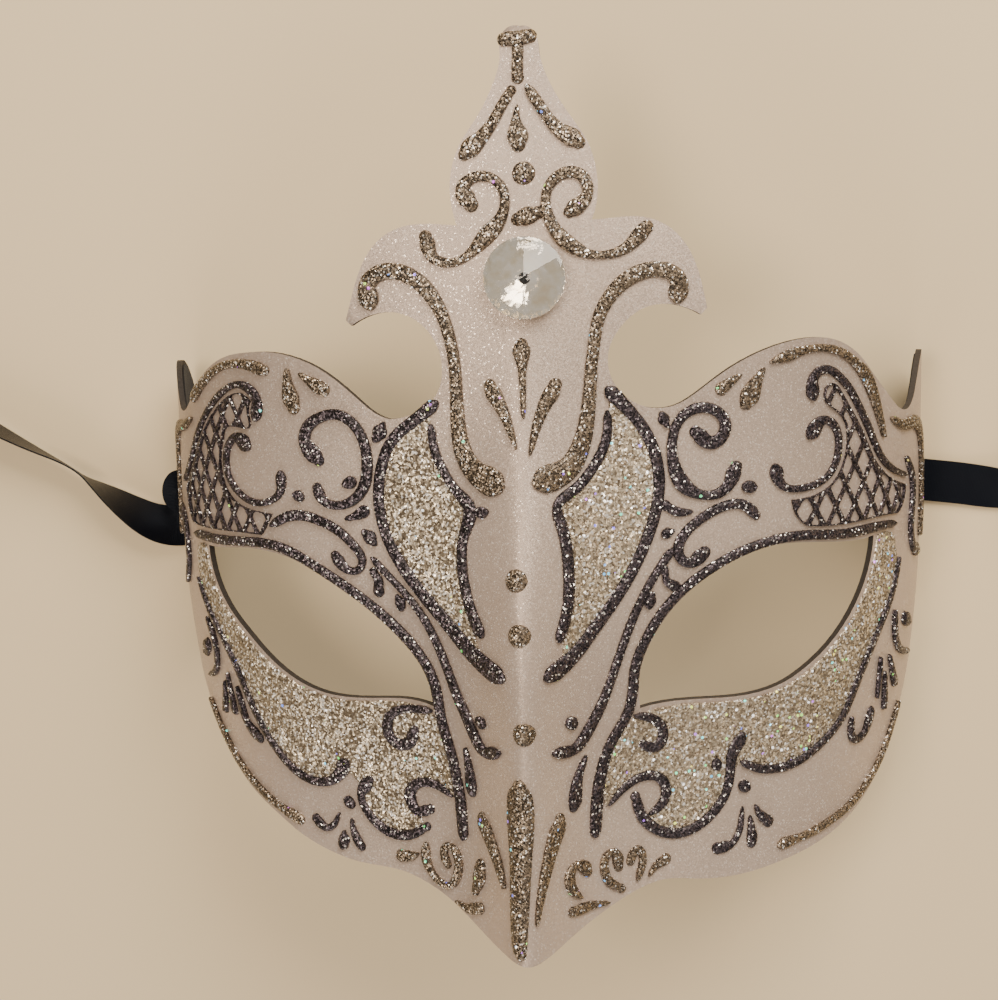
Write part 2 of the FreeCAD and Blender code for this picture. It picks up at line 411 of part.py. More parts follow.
pewter = {
    "petal_rim_left": [
        [(-18.6, 110.2, 3), (-22.6, 107, 2.8), (-27.4, 103, 2.6), (-30.2, 97, 2.6),
         (-31, 90, 2.6), (-29.4, 82.6, 2.6), (-25.4, 75.6, 2.8), (-20, 69.2, 3), (-14.4, 63.4, 3.4),
         (-9, 58.6, 4), (-5.4, 56.8, 4.4)],
        [(-19.2, 105.6, 1.8), (-18.6, 101, 2), (-16.6, 96.6, 2), (-13.8, 92.6, 2.2),
         (-10.9, 89.4, 3.2), (-12, 85, 2.4), (-12.9, 80, 2.2), (-12.5, 75, 2.2), (-11, 69, 2.4),
         (-9, 64.6, 2.6)],
        [(-8.6, 88.8, 2.8), (-7.8, 89, 2)],
    ],
    "petal_rim_right": [
        [(17.6, 112.4, 3.4), (20.8, 109, 2.8), (24.2, 104.6, 2.6), (26.5, 99.4, 2.6),
         (27.3, 93.6, 2.6), (26.5, 87.6, 2.6), (24.4, 81.4, 2.6), (21.4, 75.4, 2.6),
         (17.6, 69.6, 2.6), (13.2, 64, 2.8), (9, 59.4, 3.4), (5.4, 57, 4)],
        [(16.9, 108, 1.8), (16.9, 104.6, 2), (15.6, 100.2, 2.2), (12.8, 95.8, 2.2),
         (9.4, 92.6, 2.4), (6.8, 91, 2.2), (7.6, 86, 2.2), (8.6, 80.6, 2.2), (8.9, 75, 2.2),
         (8.4, 69, 2.2), (7, 64, 2.2)],
    ],
    "spiral_left": [
        [(-45.6, 98.8, 4.4), (-48, 101.4, 3.2), (-47.2, 104.8, 2.8), (-44, 107, 2.4),
         (-40, 107.8, 2.4), (-36.2, 105.8, 2.4), (-33.8, 101.4, 2.4), (-33.4, 96.8, 2.6),
         (-34.4, 92.4, 2.6), (-37.4, 89.4, 2.2), (-41, 88.4, 2), (-44, 89.3, 2.2),
         (-45.1, 91.4, 3)],
        [(-38.2, 93.2, 2.6), (-37.2, 93.6, 3)],
        [(-50.4, 90, 2.6), (-49.6, 89.8, 2.6)],
        [(-29.6, 106, 1.4), (-31.2, 103, 2.4)],
    ],
    "spiral_right": [
        [(35.6, 103, 3.4), (37.6, 101, 3.2), (40.4, 102, 2.8), (41.3, 105, 2.6), (39, 107.8, 2.4),
         (35, 108.4, 2.4), (31.4, 106, 2.2), (30, 101.4, 2.2), (30.4, 96.6, 2.8),
         (32.2, 92.8, 3.6), (35.4, 90.6, 2.2), (39, 90.3, 2.2), (41.8, 92, 2.6),
         (43.1, 94.9, 3.8)],
        [(45.9, 91.5, 2.8), (46.9, 91.3, 2.8)],
        [(28, 107.3, 1.8), (29, 105, 1.2)],
    ],
    "net_scroll_left": [
        [(-60.9, 106.6, 4), (-60.4, 109.6, 3.2), (-62.4, 112, 2.8), (-66.4, 112.9, 2),
         (-71, 111.2, 2), (-76, 107.8, 2), (-80.6, 103.6, 2), (-85, 98.4, 2), (-89, 93, 2),
         (-93.6, 88.6, 2)],
        [(-64.6, 100, 4.8), (-68, 101.3, 2.6), (-70.6, 98.6, 2.4), (-71.4, 95, 2.4),
         (-70, 91.4, 2.2), (-66.6, 88.7, 2), (-62, 87.4, 2), (-57.8, 88.2, 2), (-54.8, 90.4, 2.4),
         (-54.6, 93.8, 3.6)],
    ],
    "net_scroll_right": [
        [(61.3, 109.6, 4), (61.2, 112.8, 3), (64, 114.6, 2.4), (67.8, 113, 2.2), (71.2, 109.8, 2.2),
         (74.4, 105.2, 2.2), (77.4, 100.6, 2.2), (80.2, 96, 2.2), (83.4, 92.6, 2),
         (88, 90, 1.8), (93, 88.4, 1.6)],
        [(61.2, 101.6, 4.6), (63.8, 104, 2.6), (66.9, 102.6, 2.4), (68.2, 99, 2.2),
         (67.4, 94.6, 2.2), (64.8, 91.6, 2), (61, 90.3, 2), (57, 90, 2), (53.8, 91, 2.4),
         (52.4, 94.4, 4)],
    ],
    "eye_rim_left": [
        [(-86, 77.4, 2), (-80, 77.5, 2.2), (-70, 78.1, 2.2), (-61, 78.8, 2.2), (-54.6, 78.2, 2.4),
         (-48, 75.8, 2.2), (-41.4, 72.5, 2.2), (-35.2, 68.8, 2.2), (-29.6, 64.6, 2.4),
         (-24.4, 59.6, 2.4), (-21, 54.6, 2.4), (-19.5, 49.6, 2.4), (-18.9, 44, 2.4),
         (-17.2, 37.6, 2.4), (-15.8, 31, 2.4), (-15.1, 25, 2.6), (-14.9, 19.4, 2.4)],
    ],
    "eye_rim_right": [
        [(87, 78.6, 1.8), (80, 79, 2.2), (70, 79, 2.2), (62, 79.8, 2.2), (55.6, 80.1, 2.2),
         (49.6, 79.4, 2.2), (44.2, 77.9, 2.2), (38.4, 75.2, 2.2), (32.6, 71.4, 2.2),
         (27.8, 66.6, 2.2), (24.4, 61.2, 2.2), (22.2, 55.8, 2.2), (21.6, 50, 2.2),
         (20.6, 45.4, 2.2), (17.4, 40, 2.2), (15.2, 34, 2.4), (14.2, 27.4, 2.6), (13.9, 20.6, 2.4)],
    ],
    "eyebrow_left": [
        [(-57.2, 83.2, 2), (-53.6, 85.1, 2.4), (-49, 85.8, 2.4), (-44.4, 84.8, 2.2),
         (-40, 82.8, 2.2), (-36.6, 79.8, 2), (-34.9, 76.8, 2), (-36.2, 74.8, 1.8),
         (-39, 75, 2), (-41, 77.2, 3.2)],
        [(-38.4, 85.8, 1.2), (-36.6, 86.4, 1.8), (-35, 87.2, 2.8)],
        [(-34.4, 83.2, 1.8), (-33.2, 81.8, 2.2), (-32.2, 80.9, 1.6)],
    ],
    "eyebrow_right": [
        [(47.6, 85.6, 2.6), (45.6, 87.6, 2.4), (41.6, 88, 2.2), (37.6, 86.5, 2.2),
         (33.8, 84, 2.2), (31.4, 81, 2.4), (31.3, 77.8, 2.4), (33.6, 76.3, 2.4), (35.9, 78, 3.6)],
        [(28.8, 88.6, 1.8), (31, 87.2, 2.2), (33.8, 87.1, 1.2)],
        [(28.6, 82.8, 2.4), (30, 83.4, 1.2)],
    ],
    "line_left": [
        [(-32.6, 77.6, 1.6), (-29.6, 74.6, 1.6), (-26.4, 71.6, 1.6), (-23.2, 68, 1.7),
         (-20.4, 63.8, 1.8), (-18.2, 59.2, 1.9), (-16.4, 54.4, 2), (-14.6, 49.6, 2.2),
         (-12.8, 45.8, 2.4), (-11, 41.9, 2.4), (-8.8, 39.3, 2.6), (-6.2, 40.4, 2.8)],
        [(-9.6, 45.9, 2.4), (-9.2, 45.1, 2)],
        [(-13.4, 38.6, 1), (-12.7, 34.4, 1.8), (-12.4, 30.2, 2.8)],
        [(-27.4, 70, 1.2), (-26.6, 67.8, 2.2)],
        [(-32.8, 74.8, 1.4), (-31.5, 73, 2.2), (-31.7, 71, 2.2)],
    ],
    "line_right": [
        [(29.6, 79.2, 2), (27, 75.6, 1.8), (24.4, 71.4, 1.8), (22, 66.6, 1.8), (19.8, 61, 1.8),
         (17.9, 55.6, 1.8), (16.3, 51, 1.9), (14.4, 46.8, 2.2), (12, 42.6, 2.4),
         (9.2, 39.8, 2.6), (6.4, 40.4, 2.8)],
        [(8.9, 46.2, 2.4), (9.2, 45.2, 2.2)],
        [(11.7, 37.6, 1), (10, 33, 2), (9.6, 28.2, 2.8)],
        [(25.8, 70.6, 1.2), (25, 68.2, 2)],
        [(28.6, 75.6, 1.2), (28.6, 73, 1.8), (30.2, 72, 2.4)],
    ],
    "cheek_curl_left": [
        [(-21.6, 45.4, 1.8), (-26.6, 45.2, 2), (-30.8, 43.2, 2.4), (-32, 39.6, 2.8),
         (-29.8, 36.6, 3), (-26.6, 37.4, 3), (-25.6, 40, 2.8)],
        [(-17.4, 27.4, 1.4), (-20.4, 28.8, 2), (-24, 29, 2.2), (-27.1, 27.2, 2.8),
         (-27.6, 24, 3), (-25.8, 21.9, 2.4), (-23.4, 23, 2.8)],
    ],
    "cheek_curl_right": [
        [(22.4, 44.3, 1.6), (25.4, 43.6, 2.2), (27.8, 41.3, 2.4), (28.1, 38.2, 2.6),
         (26.2, 36.2, 2.6), (24.3, 37.6, 2.8)],
        [(16.9, 26, 1.2), (19.8, 28.8, 1.8), (24, 30.7, 2.2), (27.8, 29.8, 2.4),
         (29.3, 26.6, 2.4), (28.2, 23.6, 2.2), (26.2, 22.4, 1.8)],
    ],
    "cheek_rim_left": [
        [(-38, 26.6, 3.6), (-40, 24, 2.4), (-38.8, 20.4, 2.2), (-35.6, 17.4, 2.4),
         (-31.4, 16.2, 2.4), (-27.4, 17, 2.2), (-24, 19.2, 1.8)],
        [(-43.6, 30, 4), (-45.6, 27.2, 2.8), (-48.6, 25.4, 2.2), (-52.6, 25, 2.2),
         (-57, 26.2, 2.2), (-61.2, 29, 2.2), (-65, 33, 2.2), (-68, 37.4, 2.2), (-70.4, 42, 2.2),
         (-72.6, 47, 2.2), (-75.4, 51.8, 2.2), (-79, 56.4, 2.2), (-83, 61.2, 2),
         (-86.4, 66.6, 1.8)],
        [(-43.5, 21.8, 2.8), (-42.9, 21.3, 2.8)],
    ],
    "cheek_rim_right": [
        [(22.6, 26, 2.2), (23.6, 22.6, 2.4), (26.2, 19.4, 2.4), (29.6, 17.5, 2.4),
         (33.4, 17.1, 2.4), (37.4, 18.4, 2.4), (41, 21.4, 2.4), (43.2, 25.4, 2.4),
         (43.6, 30, 2.4), (44, 33.6, 3), (45.6, 36.2, 3.6)],
        [(40.2, 31.6, 2.4), (40.4, 30.8, 2.6)],
        [(46.4, 30.8, 1.8), (50, 29, 2), (55, 28.2, 2.2), (60, 28.8, 2.2), (65, 31, 2.2),
         (69.4, 34, 2.2), (72.8, 37.6, 2.2), (75, 42, 2.2), (77.4, 47, 2.2), (80.6, 52.6, 2.2),
         (84, 58, 2.2), (87.6, 64, 2), (89.6, 70, 1.6)],
        [(46.9, 25.6, 2.8), (47.6, 25.1, 2.8)],
    ],
    "sprig_left": [
        [(-52.6, 16.2, 2.8), (-50.2, 14.8, 1.8), (-47.9, 16, 1.5), (-46.2, 18.6, 0.9)],
        [(-45.3, 14.8, 1), (-45.9, 12, 2.8)],
        [(-42.9, 17.8, 0.9), (-42.5, 14.8, 2), (-41.2, 12.6, 2.4)],
    ],
    "sprig_right": [
        [(42.6, 12.8, 3.2), (44.8, 12.8, 1.9), (46.6, 15, 1.7), (47.1, 18, 1.3), (47.1, 20.6, 0.9)],
        [(49.2, 18.4, 1), (49.8, 15.6, 2), (50.2, 13.2, 2.8)],
        [(50.4, 20.6, 0.9), (51.8, 18.4, 2), (53.8, 16.9, 2.4)],
    ],
    "branch_left": [
        [(-69.2, 32.4, 3.6), (-72.4, 34.6, 2), (-73.6, 38, 2.6), (-74.4, 42.6, 1.4)],
        [(-77.4, 37, 2.6), (-77.6, 41, 1.6), (-77.9, 45.4, 1)],
        [(-82.2, 36, 2), (-80.6, 39.4, 2), (-79.8, 43, 1)],
        [(-83.8, 57.4, 2.2), (-82, 53.2, 2), (-81.9, 48.6, 1.8), (-84.2, 44.6, 1.8),
         (-88, 43, 1.6)],
        [(-87.6, 50, 4), (-88.6, 49, 3.4)],
        [(-97.4, 64, 1.4), (-94, 69, 2), (-93.6, 75, 2.2), (-96.6, 80, 2.4), (-100.4, 80.6, 3.4)],
    ],
    "branch_right": [
        [(75.6, 35.4, 2), (75.9, 31.8, 2), (78.4, 29.9, 2.2), (81.2, 31.2, 2), (82.6, 34.8, 3.4)],
        [(84.4, 48, 1), (84.8, 43, 1.4), (84.6, 38.6, 1)],
        [(86.9, 44, 1), (88, 39.6, 1.8), (88.8, 35.6, 2.2)],
        [(88.6, 47.6, 1), (91, 43.4, 1.8), (93.4, 40, 2.4)],
        [(89.4, 57.6, 2), (90.4, 52.6, 2), (93.2, 48.6, 1.8), (97, 46.6, 1.8), (101, 45.6, 1.6)],
        [(96.6, 54.6, 3.6), (98.4, 53.6, 3)],
        [(93.4, 92, 1.6), (96.6, 88.4, 2.2), (97.8, 83, 2.2), (96.6, 77, 2.2), (98.4, 71.6, 2.2),
         (102.4, 69.6, 3.4)],
    ],
}

petal_left = [
    [(-9.6, 59.4), (-10.8, 66), (-12.2, 72), (-12.9, 79), (-12.2, 85), (-10.9, 89.2),
     (-14, 92.9), (-17, 97.2), (-18.9, 102), (-19.4, 108.6)],
    [(-19.4, 108.6), (-23.4, 106), (-27.6, 102.4), (-30.2, 96.6), (-31, 90), (-29.4, 82.6),
     (-25.4, 75.6), (-20, 69.2), (-14.6, 63.6), (-9.6, 59.4)],
]
petal_right = [
    [(7.6, 58.2), (13.2, 64), (17.6, 69.6), (21.4, 75.4), (24.4, 81.4), (26.5, 87.6),
     (27.3, 93.6), (26.5, 99.4), (24.2, 104.6), (20.6, 109), (17.3, 110.4)],
    [(17.3, 110.4), (17, 105), (15.6, 100.2), (12.8, 95.8), (9.6, 92.8), (6.8, 90.8)],
    [(6.8, 90.8), (7.8, 85.6), (8.7, 80), (8.8, 74), (8.2, 67), (7.6, 58.2)],
]
cheek_left = [
    [(-22.2, 45.4), (-28, 46.4), (-35, 45.7), (-42, 45.1), (-48, 45.6), (-53.6, 47.1),
     (-58.8, 49.6), (-63.4, 52.6), (-68.2, 56.4), (-73.2, 60.5), (-77.4, 65), (-80.4, 70.8),
     (-81.6, 75.2)],
    [(-81.6, 75.2), (-84, 75.4), (-86.6, 74)],
    [(-86.6, 74), (-86.2, 67), (-83, 61.2), (-79, 56.4), (-75.4, 51.8), (-72.6, 47),
     (-70.4, 42), (-68, 37.4), (-65, 33), (-61.2, 29), (-57, 26.2), (-52.6, 25), (-48.6, 25.4),
     (-45.4, 27.2), (-42.2, 28)],
    [(-42.2, 28), (-39.8, 24.6), (-38.8, 20.4), (-35.6, 17.4), (-31.4, 16.2), (-27.4, 17),
     (-24.8, 19.2), (-26, 21.4)],
    [(-26, 21.4), (-27.6, 23.6), (-27.2, 27.2), (-24, 29), (-20.4, 28.8), (-16.6, 26.8)],
    [(-16.6, 26.8), (-16.4, 33), (-18, 38.4), (-19.6, 43), (-22.2, 45.4)],
]
cheek_right = [
    [(16.2, 25.4), (19.8, 28.8), (24, 30.7), (27.6, 30), (29.3, 26.6), (28.2, 23.6),
     (25.4, 21.6)],
    [(25.4, 21.6), (27, 18.9), (29.6, 17.5), (33.4, 17.1), (37.4, 18.4), (41, 21.4),
     (43.2, 25.4), (45.4, 30.6)],
    [(45.4, 30.6), (50, 29), (55, 28.2), (60, 28.8), (65, 31), (69.4, 34), (72.8, 37.6),
     (75, 42), (77.4, 47), (80.6, 52.6), (84, 58), (87.6, 64), (88.8, 70), (87.4, 76)],
    [(87.4, 76), (84, 77.2), (80.8, 77)],
    [(80.8, 77), (79.6, 71.6), (76.8, 65), (72.4, 58.8), (67.2, 53.7), (61.6, 49.6),
     (56.4, 47), (50.8, 45.5), (44, 45), (37, 45.3), (30, 45.5), (24.4, 44.6)],
    [(24.4, 44.6), (20.6, 42.6), (17.6, 38), (15.9, 32), (16.2, 25.4)],
]

# Net: rows and columns of diamond holes between its two scrolls
net_left = [
    [(-60.5, 80.4), (-58.6, 83), (-57.2, 85.6)],
    [(-57.2, 85.6), (-62, 85.8), (-67.4, 86.8), (-71.6, 89.8), (-73.2, 95), (-71.9, 100.4)],
    [(-71.9, 100.4), (-68, 103.4), (-62.6, 104), (-62.9, 106.4), (-62.2, 109.4)],
    [(-62.2, 109.4), (-66.4, 111.2), (-70.6, 109.6), (-75, 106.4), (-79.4, 102.2),
     (-83.6, 97.2), (-87.4, 92), (-91.4, 87.6)],
    [(-91.4, 87.6), (-90.6, 83), (-87.4, 79.4)],
    [(-87.4, 79.4), (-80, 79.5), (-70, 80.1), (-60.5, 80.4)],
]
net_right = [
    [(60, 81.8), (70, 81), (80, 81), (88.4, 80.4)],
    [(88.4, 80.4), (91.6, 83), (92.6, 86.6)],
    [(92.6, 86.6), (87.4, 88.2), (82.6, 90.8), (78.8, 94.6), (75.8, 99.4), (72.8, 104),
     (69.6, 108.4), (66.4, 111.6), (64.2, 110.6)],
    [(64.2, 110.6), (64.4, 107.6), (67, 105.6), (69.8, 102.6), (70.4, 99), (69.4, 94.4),
     (66.4, 90.4), (61.6, 88.4), (56, 88)],
    [(56, 88), (57, 84.6), (60, 81.8)],
]
net_pitch_s = 5.4
net_pitch_z = 8.6
net_line = 1.05
net_least = 1.0           # smallest hole left open, in square millimetres


def boundary(loop):
    points = []
    for run in loop:
        curve = Part.BSplineCurve()
        if len(run) == 2:
            points += run[:-1]
            continue
        curve.interpolate([V(s, z, 0) for s, z in run])
        points += [(p.x, p.y) for p in curve.discretize(Number=5 * len(run))[:-1]]
    return points


def clipped(fence, window):
    """The part of a fence inside a convex window, both counter-clockwise."""
    kept = fence
    for (a, b), (c, d) in zip(window, window[1:] + window[:1]):
        points, kept = kept, []
        for p, q in zip(points, points[1:] + points[:1]):
            near = (c - a) * (p[1] - b) - (d - b) * (p[0] - a)
            far = (c - a) * (q[1] - b) - (d - b) * (q[0] - a)
            if near >= 0:
                kept.append(p)
            if (near >= 0) != (far >= 0):
                part = near / (near - far)
                kept.append((p[0] + part * (q[0] - p[0]), p[1] + part * (q[1] - p[1])))
        if not kept:
            return []
    return kept


def thinned(points, apart=0.5):
    """Without the points that lie close to a neighbour or in line with both."""
    kept = []
    for p in points:
        if not kept or math.dist(p, kept[-1]) > apart:
            kept.append(p)
    while len(kept) > 3 and math.dist(kept[0], kept[-1]) <= apart:
        kept.pop()
    bent = []
    for k, p in enumerate(kept):
        a, b = kept[k - 1], kept[(k + 1) % len(kept)]
        if abs((p[0] - a[0]) * (b[1] - a[1]) - (p[1] - a[1]) * (b[0] - a[0])) > 0.06:
            bent.append(p)
    return bent


def area_of(points):
    return 0.5 * sum(a[0] * b[1] - b[0] * a[1] for a, b in zip(points, points[1:] + points[:1]))


def diamonds(loop):
    """The holes of a net: whole diamonds, and parts of diamonds along its border."""
    fence = boundary(inset(loop, net_line / 2))
    low_s, high_s = min(p[0] for p in fence), max(p[0] for p in fence)
    low_z, high_z = min(p[1] for p in fence), max(p[1] for p in fence)
    widen = net_line / 2 * math.hypot(net_pitch_s, net_pitch_z)
    half_s = net_pitch_s / 2 - widen / net_pitch_z
    half_z = net_pitch_z / 2 - widen / net_pitch_s
    holes = []
    rows = int((high_z - low_z) / net_pitch_z * 2) + 3
    columns = int((high_s - low_s) / net_pitch_s) + 3
    for row in range(rows):
        for column in range(columns):
            s = low_s + (column - 0.5 * (row % 2)) * net_pitch_s
            z = low_z + row * net_pitch_z / 2
            whole = [(s + half_s, z), (s, z + half_z), (s - half_s, z), (s, z - half_z)]
            hole = thinned(clipped(fence, whole))
            if len(hole) > 2 and area_of(hole) > net_least:
                holes.append([[a, b] for a, b in zip(hole, hole[1:] + hole[:1])])
    return holes


# Beads: a crowned strip along a drawn line, with rounded ends

def uniform_knots(count):
    inner = count - 3
    return [4] + [1] * (inner - 1) + [4], [float(k) for k in range(inner + 1)]


def pole_surface(grid):
    made = Part.BSplineSurface()
    counts_u, knots_u = uniform_knots(len(grid))
    counts_v, knots_v = uniform_knots(len(grid[0]))
    made.buildFromPolesMultsKnots(grid, counts_u, counts_v, knots_u, knots_v, False, False, 3, 3)
    return made


def bead(line, across=7, spacing=1.5):
    ends = []
    for a, b in ((line[0], line[1]), (line[-1], line[-2])):
        long = math.dist(a[:2], b[:2])
        reach = 0.4 * a[2] / long
        ends.append((a[0] - reach * (b[0] - a[0]), a[1] - reach * (b[1] - a[1]), a[2]))
    drawn = [ends[0]] + list(line) + [ends[1]]
    curve = Part.BSplineCurve()
    curve.interpolate([V(*p) for p in drawn])
    count = max(9, int(curve.length() / spacing))
    middle = curve.discretize(Number=6 * count)
    travel = [0.0]
    for a, b in zip(middle, middle[1:]):
        travel.append(travel[-1] + math.hypot(b.x - a.x, b.y - a.y))
    total = travel[-1]
    places = [total * (0.5 - 0.5 * math.cos(math.pi * k / (count - 1))) * 0.35
              + total * k / (count - 1) * 0.65 for k in range(count)]
    bottom, top = [], []
    for place in places:
        k = max(1, next((i for i, t in enumerate(travel) if t >= place), len(travel) - 1))
        part = (place - travel[k - 1]) / (travel[k] - travel[k - 1])
        part = min(1, max(0, part))
        a, b = middle[k - 1], middle[k]
        here = a + (b - a) * part
        away = math.hypot(b.x - a.x, b.y - a.y)
        side = (-(b.y - a.y) / away, (b.x - a.x) / away)
        half = 0.5 * bead_share * here.z
        for end, radius in ((place, ends[0][2] / 2), (total - place, ends[1][2] / 2)):
            if end < radius:
                half *= math.sqrt(max(0.06, 1 - (1 - end / radius) ** 2))
        row_low, row_high = [], []
        for j in range(across):
            share = 2 * j / (across - 1) - 1
            s, z = here.x + side[0] * half * share, here.y + side[1] * half * share
            rise = bead_edge + (1 - bead_edge) * math.sqrt(1 - share * share)
            row_low.append(on(s, z, bead_floor))
            row_high.append(on(s, z, bead_floor + bead_height * rise))
        bottom.append(row_low)
        top.append(row_high)
    low, high = pole_surface(bottom), pole_surface(top)
    faces = [low.toShape(), high.toShape()]
    u0, u1, v0, v1 = low.bounds()
    for pick in (lambda f: f.uIso(u0), lambda f: f.uIso(u1),
                 lambda f: f.vIso(v0), lambda f: f.vIso(v1)):
        faces.append(Part.makeRuledSurface(pick(low).toShape(), pick(high).toShape()))
    return closed_solid(faces)


# Crystal: a faceted point on a girdle, over a tapered back that sits in foil on a glue pad

def at_crystal():
    origin = on(0.7, 135.3, 0)
    out = normal(0.7, 135.3)
    side = V(0, 0, 1).cross(out).normalize() * -1
    return origin, side, out.cross(side), out


def ring(radius, rise, turn=0.0):
    origin, side, up, out = at_crystal()
    points = []
    for k in range(crystal_facets):
        angle = 2 * math.pi * (k + turn) / crystal_facets
        points.append(origin + side * (radius * math.cos(angle))
                      + up * (radius * math.sin(angle)) + out * rise)
    return points


def flat(points):
    return Part.Face(Part.makePolygon(list(points) + [points[0]]))


def band(lower, upper):
    count = len(lower)
    return [flat([lower[k], lower[(k + 1) % count], upper[(k + 1) % count], upper[k]])
            for k in range(count)]


pad_top = glue_line + crystal_seat
foil_top = pad_top + foil_wall
girdle_low = foil_top + glue_line + crystal_back
girdle_high = girdle_low + crystal_girdle


def crystal():
    back = ring(crystal_back_radius, girdle_low - crystal_back)
    low = ring(crystal_radius, girdle_low)
    high = ring(crystal_radius, girdle_high)
    origin, side, up, out = at_crystal()
    point = origin + out * (girdle_high + crystal_crown)
    crown = [flat([high[k], high[(k + 1) % crystal_facets], point])
             for k in range(crystal_facets)]
    return closed_solid([flat(back)] + band(back, low) + band(low, high) + crown)


def foil():
    """A cup that follows the crystal's tapered back, one foil thick."""
    slope = (crystal_radius - crystal_back_radius) / crystal_back
    deep = girdle_low - crystal_back - glue_line
    high = 0.7 * crystal_back
    mouth = crystal_back_radius + slope * high + 1.5 * glue_line
    foot = crystal_back_radius + glue_line / 2
    top = girdle_low - crystal_back + high
    inner_low, inner_high = ring(foot, deep), ring(mouth, top)
    outer_low, outer_high = ring(foot, deep - foil_wall), ring(mouth + foil_wall, top)
    return closed_solid([flat(inner_low), flat(outer_low)] + band(inner_low, inner_high)
                        + band(outer_low, outer_high) + band(inner_high, outer_high))


def crystal_pad():
    low, high = ring(crystal_back_radius * 0.8, glue_line), ring(crystal_back_radius, pad_top)
    return closed_solid([flat(low), flat(high)] + band(low, high))


# The mask lies on its back, on the rear edges of its two temples

def leaned(point, lean):
    c, s = math.cos(lean), math.sin(lean)
    return V(point.x, point.y * c + point.z * s, point.z * c - point.y * s)


def lying():
    edge = [on(s, z, off) for s, z in boundary(outline) for off in (0, -shell_wall)]
    rear = [p for p in edge if p.y > 60]
    lower = [p for p in rear if p.z < 75]
    upper = [p for p in rear if p.z > 75]
    low, high = 1.0, 1.8
    for _ in range(40):
        lean = (low + high) / 2
        gap = min(leaned(p, lean).z for p in lower) - min(leaned(p, lean).z for p in upper)
        low, high = (low, lean) if gap > 0 else (lean, high)
    moved = [leaned(p, lean) for p in edge]
    return lean, moved


lean, lying_edge = lying()
floor_z = min(p.z for p in lying_edge)
centre_y = (min(p.y for p in lying_edge) + max(p.y for p in lying_edge)) / 2
free_x = max(abs(p.x) for p in lying_edge) + ribbon_past


def placed(shape):
    shape = shape.copy()
    shape.rotate(V(0, 0, 0), V(1, 0, 0), -math.degrees(lean))
    shape.translate(V(0, -centre_y, -floor_z))
    return shape


def settled(point):
    point = leaned(point, lean)
    return V(point.x, point.y - centre_y, point.z - floor_z)


# Tie ribbons: a root glued inside each temple, a patch over it, a free stretch and its coil

def unit(vector):
    return vector / vector.Length


def corner_arc(before, corner, after, radius):
    """The arc that rounds a corner, as its first, middle and last points."""
    way_in, way_out = unit(corner - before), unit(after - corner)
    half_turn = way_in.getAngle(way_out) / 2
    reach = radius * math.tan(half_turn)
    middle = corner + unit(way_out - way_in) * (radius / math.cos(half_turn) - radius)
    return corner - way_in * reach, middle, corner + way_out * reach


def run_edges(points, radii):
    edges = []
    start = points[0]
    for k, radius in enumerate(radii):
        first, middle, last = corner_arc(points[k], points[k + 1], points[k + 2], radius)
        edges.append(Part.LineSegment(start, first).toShape())
        edges.append(Part.Arc(first, middle, last).toShape())
        start = last
    return edges + [Part.LineSegment(start, points[-1]).toShape()]


def cord_radii(points):
    radii = []
    for a, b, c in zip(points, points[1:], points[2:]):
        half_turn = (b - a).getAngle(c - b) / 2
        radii.append(0.45 * min((b - a).Length, (c - b).Length) / math.tan(half_turn))
    return radii


def inside_temple(side, level):
    """Low and high points of a ribbon's outer face, on the lining of a temple."""
    height = level + centre_y
    reach = drawn_arc - 2 * lining_inset
    ends = [settled(on(side * s, height, lining_floor - glue_line))
            for s in (reach, reach - ribbon_glued)]
    return [V(p.x, level, p.z) for p in ends]


def ribbon_root(side, level):
    low, high = inside_temple(side, level)
    down = unit(low - high)
    inward = V(-side * abs(down.z), 0, side * down.x)
    middle = ribbon_lift + ribbon_wall / 2
    corner = low + down * ((low.z - middle) / -down.z)
    faces = []
    for off in (0, ribbon_wall):
        rise = V(0, 0, ribbon_wall / 2 - off)
        meet = corner + inward * off + rise
        faces.append([high + inward * off, meet, V(side * free_x, level, meet.z)])
    inner = run_edges(faces[0], [ribbon_fold - ribbon_wall / 2])
    outer = run_edges(faces[1], [ribbon_fold + ribbon_wall / 2])
    ends = [Part.LineSegment(faces[0][k], faces[1][k]).toShape() for k in (0, -1)]
    wire = Part.Wire(Part.__sortEdges__(inner + outer + ends))
    strip = Part.Face(wire).extrude(V(0, ribbon_width, 0))
    strip.translate(V(0, -ribbon_width / 2, 0))
    return strip


def ribbon_patch(side, level):
    low, high = inside_temple(side, level)
    down = unit(low - high)
    inward = V(-side * abs(down.z), 0, side * down.x)
    near = ribbon_wall + glue_line
    foot = low - down * patch_margin
    corners = [foot + inward * near, high + inward * near,
               high + inward * (near + patch_wall), foot + inward * (near + patch_wall)]
    width = ribbon_width + 2 * patch_margin
    slab = flat(corners).extrude(V(0, width, 0))
    slab.translate(V(0, -width / 2, 0))
    return slab


tube_level = (ribbon_width + ribbon_lift) / 2
ribbon_level = {"left": -20.8, "right": -11.0}
ribbon_bends = {
    "left": [(-100.6, -18.3), (-116, -9)],
    "right": [(103, -13.2)],
}
ribbon_heading = {"left": 146.0, "right": -4.0}     # towards its coil
ribbon_last_run = {"left": 25.0, "right": 17.0}


def heading(name):
    angle = math.radians(ribbon_heading[name])
    return V(math.cos(angle), math.sin(angle), 0)


def ribbon_route(name, side):
    points = [V(side * (free_x + ribbon_clear), ribbon_level[name], tube_level)]
    points += [V(x, y, tube_level) for x, y in ribbon_bends[name]]
    return points + [points[-1] + heading(name) * ribbon_last_run[name]]


